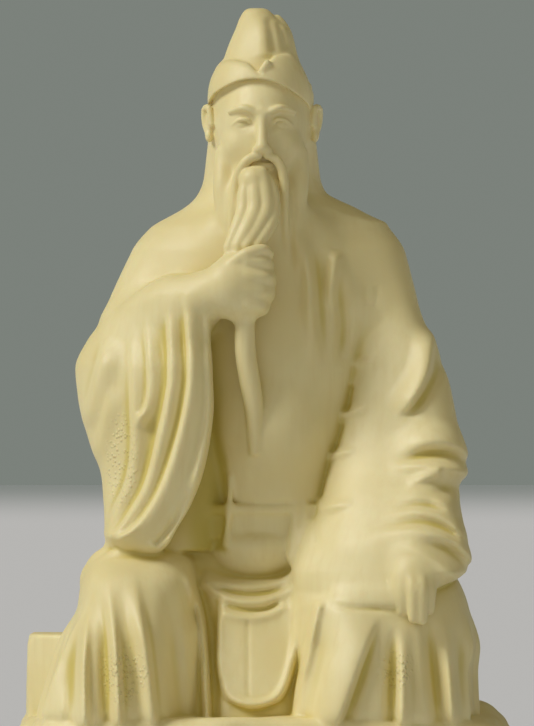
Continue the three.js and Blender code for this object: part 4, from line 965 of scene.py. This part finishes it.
def paint_recesses(mesh, clay, to_figure):
    """Stores what the painted shade and the tool marks follow.

    That is how deep in a recess each point lies, near and far, where the pocket's painted shade lies, and
    where the tool marks are.
    """
    places = np.empty(3 * len(mesh.vertices), np.float32)
    mesh.vertices.foreach_get("co", places)
    places = to_figure(places.reshape(-1, 3))
    deepest = 36
    field = np.clip(clay.field, -deepest, deepest)
    for name, finest_cells in (("recess", 3), ("hollow", 8), ("cave", 22)):
        reach = max(1, round(finest_cells * FINEST_CELL / CELL))
        store(mesh, name, -sampled(blurred(field, reach), places) / (reach * CELL))
    # Painted shade darkens the deep pocket between the raised sleeve and the belly
    x, y, z = places.T
    side = np.interp(z, (300, 420, 480), (-52, -52, -58))
    front = np.interp(z, (240, 300, 400, 520), (-112, -112, -106, -100))
    pocket = smoothstep(y, front, front + 12) * (1 - smoothstep(y, -60, -30))
    pocket = pocket * (1 - smoothstep(x - side, -4, 6)) * smoothstep(x, -170, -150)
    pocket = pocket * smoothstep(z, 226, 236) * (1 - smoothstep(z, 540, 585))
    store(mesh, "pocket", pocket)
    # Patches of small tool marks that weren't smoothed away, on the sleeve and the skirts
    worked = np.zeros(len(places))
    for middle, height, wide, tall in ((-202, 360, 28, 84), (-196, 60, 42, 54), (186, 68, 32, 36)):
        away = np.hypot((x - middle) / wide, (z - height) / tall)
        worked = np.maximum(worked, (1 - smoothstep(away, 0.4, 1)) * (y < -60))
    store(mesh, "worked", worked)


def carved_mesh(clay):
    """The zero surface as a mesh in metres, in the frame of the CAD part."""
    band = 2.5 * CELL
    field = np.clip(clay.field, -band, band)
    grid = openvdb.FloatGrid(band)
    grid.copyFromArray(field)
    points, quads = grid.convertToQuads(0.0)
    level = points[:, 0]
    step = np.interp(level, np.arange(len(LEVELS)), STEPS)
    x = (points[:, 2] - (ACROSS - 1) / 2) * step
    y = (points[:, 1] - (DEEP - 1) / 2) * step
    z = np.interp(level, np.arange(len(LEVELS)), LEVELS)
    places = np.column_stack([x, y, z]).astype(np.float64) * UNIT
    low, high = places.min(axis=0), places.max(axis=0)
    box_low, box_high = np.array(CAD_LOW), np.array(CAD_HIGH)
    stretch = (box_high - box_low) / (high - low)
    mesh = bpy.data.meshes.new("carving")
    mesh.from_pydata(box_low + (places - low) * stretch, [], quads[:, ::-1])
    mesh.update()

    def to_figure(shown):
        return ((shown - box_low) / stretch + low) / UNIT

    return mesh, to_figure


def piece_from(data, name):
    """An object of the scene, made from a mesh, a light or a camera."""
    piece = bpy.data.objects.new(name, data)
    bpy.context.scene.collection.objects.link(piece)
    return piece


def thinned(piece, triangles):
    """Collapses the flattest edges until the mesh is as light as asked."""
    faces = 2 * len(piece.data.polygons)
    thinner = piece.modifiers.new("thinner", "DECIMATE")
    thinner.ratio = min(1, triangles / faces)
    depsgraph = bpy.context.evaluated_depsgraph_get()
    mesh = bpy.data.meshes.new_from_object(piece.evaluated_get(depsgraph))
    piece.modifiers.clear()
    piece.data = mesh
    return piece


class Shading:
    """The nodes of a material or of the world."""

    def __init__(self, tree):
        self.nodes, self.links = tree.nodes, tree.links

    def fill(self, socket, value):
        """Links an input to another node's output, or sets it to a plain value."""
        if isinstance(value, bpy.types.NodeSocket):
            self.links.new(value, socket)
        else:
            socket.default_value = value

    def node(self, kind, **inputs):
        made = self.nodes.new("ShaderNode" + kind)
        for name, value in inputs.items():
            self.fill(made.inputs[name.replace("_", " ")], value)
        return made

    def attribute(self, name):
        made = self.nodes.new("ShaderNodeAttribute")
        made.attribute_name = name
        return made.outputs["Fac"]

    def place(self, kind="Object"):
        return self.node("TexCoord").outputs[kind]

    def ramped(self, value, low, high):
        """0 at low and 1 at high, with a soft passage between them."""
        made = self.node("MapRange", Value=value, From_Min=low, From_Max=high)
        made.interpolation_type = "SMOOTHSTEP"
        return made.outputs["Result"]

    def mixed(self, share, a, b):
        """A colour between two; a Mix node's colour sockets come after those for numbers and vectors."""
        made = self.nodes.new("ShaderNodeMix")
        made.data_type = "RGBA"
        for key, value in (("Factor", share), (6, a), (7, b)):
            self.fill(made.inputs[key], value)
        return made.outputs[2]


def boxwood():
    """Pale matt boxwood with a faint grain and tool marks, and painted shade that makes it yellower and
    darker in its recesses and in the pocket beside the raised sleeve.
    """
    material = bpy.data.materials.new("boxwood")
    material.use_nodes = True
    look = Shading(material.node_tree)
    shader = look.nodes["Principled BSDF"]
    shader.inputs["Roughness"].default_value = 0.5
    shader.inputs["Subsurface Weight"].default_value = 0.15
    shader.inputs["Subsurface Radius"].default_value = (1, 0.6, 0.2)
    shader.inputs["Subsurface Scale"].default_value = 0.0015

    place = look.place()
    stretched = look.node("Mapping", Vector=place, Scale=(900, 900, 60)).outputs["Vector"]
    grain = look.node("TexNoise", Vector=stretched, Scale=1.0, Detail=4.0).outputs["Fac"]
    cloud = look.node("TexNoise", Vector=place, Scale=70.0, Detail=3.0).outputs["Fac"]
    wood_and_shade = look.mixed(look.ramped(cloud, 0.35, 0.65), (0.86, 0.76, 0.42, 1), (0.80, 0.69, 0.35, 1))
    wood_and_shade = look.mixed(look.ramped(grain, 0.35, 0.95), wood_and_shade, (0.80, 0.68, 0.34, 1))
    # Painted shade: the deeper a point lies in a recess, near or far, the yellower and darker its colour
    recess_shade = (
        ("hollow", 0.05, 0.45, (0.74, 0.62, 0.24, 1)),
        ("cave", 0.1, 0.35, (0.66, 0.54, 0.16, 1)),
        ("recess", 0.05, 0.5, (0.64, 0.52, 0.14, 1)),
    )
    for name, low, high, colour in recess_shade:
        wood_and_shade = look.mixed(look.ramped(look.attribute(name), low, high), wood_and_shade, colour)
    # Painted shade in the deep pocket between the raised sleeve and the belly
    wood_and_shade = look.mixed(look.attribute("pocket"), wood_and_shade, (0.56, 0.46, 0.1, 1))
    look.fill(shader.inputs["Base Color"], wood_and_shade)

    fine = look.node("TexNoise", Vector=place, Scale=1400.0, Detail=3.0).outputs["Fac"]
    pores = look.node("Bump", Height=fine, Strength=0.12, Distance=0.0001).outputs["Normal"]
    speck = look.node("TexVoronoi", Vector=place, Scale=1500.0).outputs["Distance"]
    marks = look.node("Math", Value=look.ramped(speck, 0.46, 0.12))
    marks.operation = "MULTIPLY"
    look.fill(marks.inputs[1], look.attribute("worked"))
    raised = look.node("Bump", Height=marks.outputs[0], Normal=pores, Strength=0.55, Distance=0.0003)
    look.fill(shader.inputs["Normal"], raised.outputs["Normal"])
    return material


def pale_floor():
    """A plain pale floor that darkens far behind the figure."""
    near, far, side = -2.5, 4.9, 3.0
    mesh = bpy.data.meshes.new("floor")
    mesh.from_pydata([(-side, near, 0), (side, near, 0), (side, far, 0), (-side, far, 0)], [], [(0, 1, 2, 3)])
    floor = piece_from(mesh, "floor")
    paint = bpy.data.materials.new("pale_floor")
    paint.use_nodes = True
    look = Shading(paint.node_tree)
    shader = look.nodes["Principled BSDF"]
    depth = look.node("SeparateXYZ", Vector=look.place()).outputs["Y"]
    colour = look.mixed(look.ramped(depth, 3.2, far), (0.76, 0.78, 0.86, 1), (0.34, 0.385, 0.41, 1))
    look.fill(shader.inputs["Base Color"], colour)
    shader.inputs["Roughness"].default_value = 0.8
    mesh.materials.append(paint)


def backdrop():
    """A backdrop that is grey-green at the horizon and warmer overhead."""
    world = bpy.data.worlds.new("studio")
    world.use_nodes = True
    look = Shading(world.node_tree)
    rise = look.node("SeparateXYZ", Vector=look.place("Generated")).outputs["Z"]
    colour = look.mixed(look.ramped(rise, 0.08, 0.3), (0.2, 0.222, 0.2, 1), (0.175, 0.15, 0.078, 1))
    look.fill(look.nodes["Background"].inputs["Color"], colour)
    bpy.context.scene.world = world


def lights():
    """Soft light from the upper left, and a weak broad one from the front."""
    for name, turn, rise, strength, softness in (("key", -70, 43, 1.9, 20), ("fill", -8, 30, 0.36, 100)):
        data = bpy.data.lights.new(name, "SUN")
        data.energy = strength
        data.angle = math.radians(softness)
        light = piece_from(data, name)
        light.rotation_euler = (math.radians(90 - rise), 0, math.radians(turn))


def view():
    """A level camera with a long lens, far enough away for a flat view."""
    target = Vector((0.0003, 0, 0.0653))
    distance, seen = 2.0, 0.11257
    data = bpy.data.cameras.new("camera")
    data.sensor_fit = "VERTICAL"
    data.sensor_height = 24
    data.lens = data.sensor_height * distance / seen
    data.clip_start = 0.01
    camera = piece_from(data, "camera")
    camera.location = target + Vector((0, -distance, 0))
    camera.rotation_euler = (math.pi / 2, 0, 0)
    bpy.context.scene.camera = camera
    bpy.context.scene.view_settings.view_transform = "Standard"


clay = figure()
mesh, to_figure = carved_mesh(clay)
carving = thinned(piece_from(mesh, "seated_figure"), TRIANGLES)
paint_recesses(carving.data, clay, to_figure)
carving.data.polygons.foreach_set("use_smooth", [True] * len(carving.data.polygons))
carving.data.materials.append(boxwood())
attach(carving, "root")
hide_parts("seated_figure_on_rock_plinth")
pale_floor()
backdrop()
lights()
view()
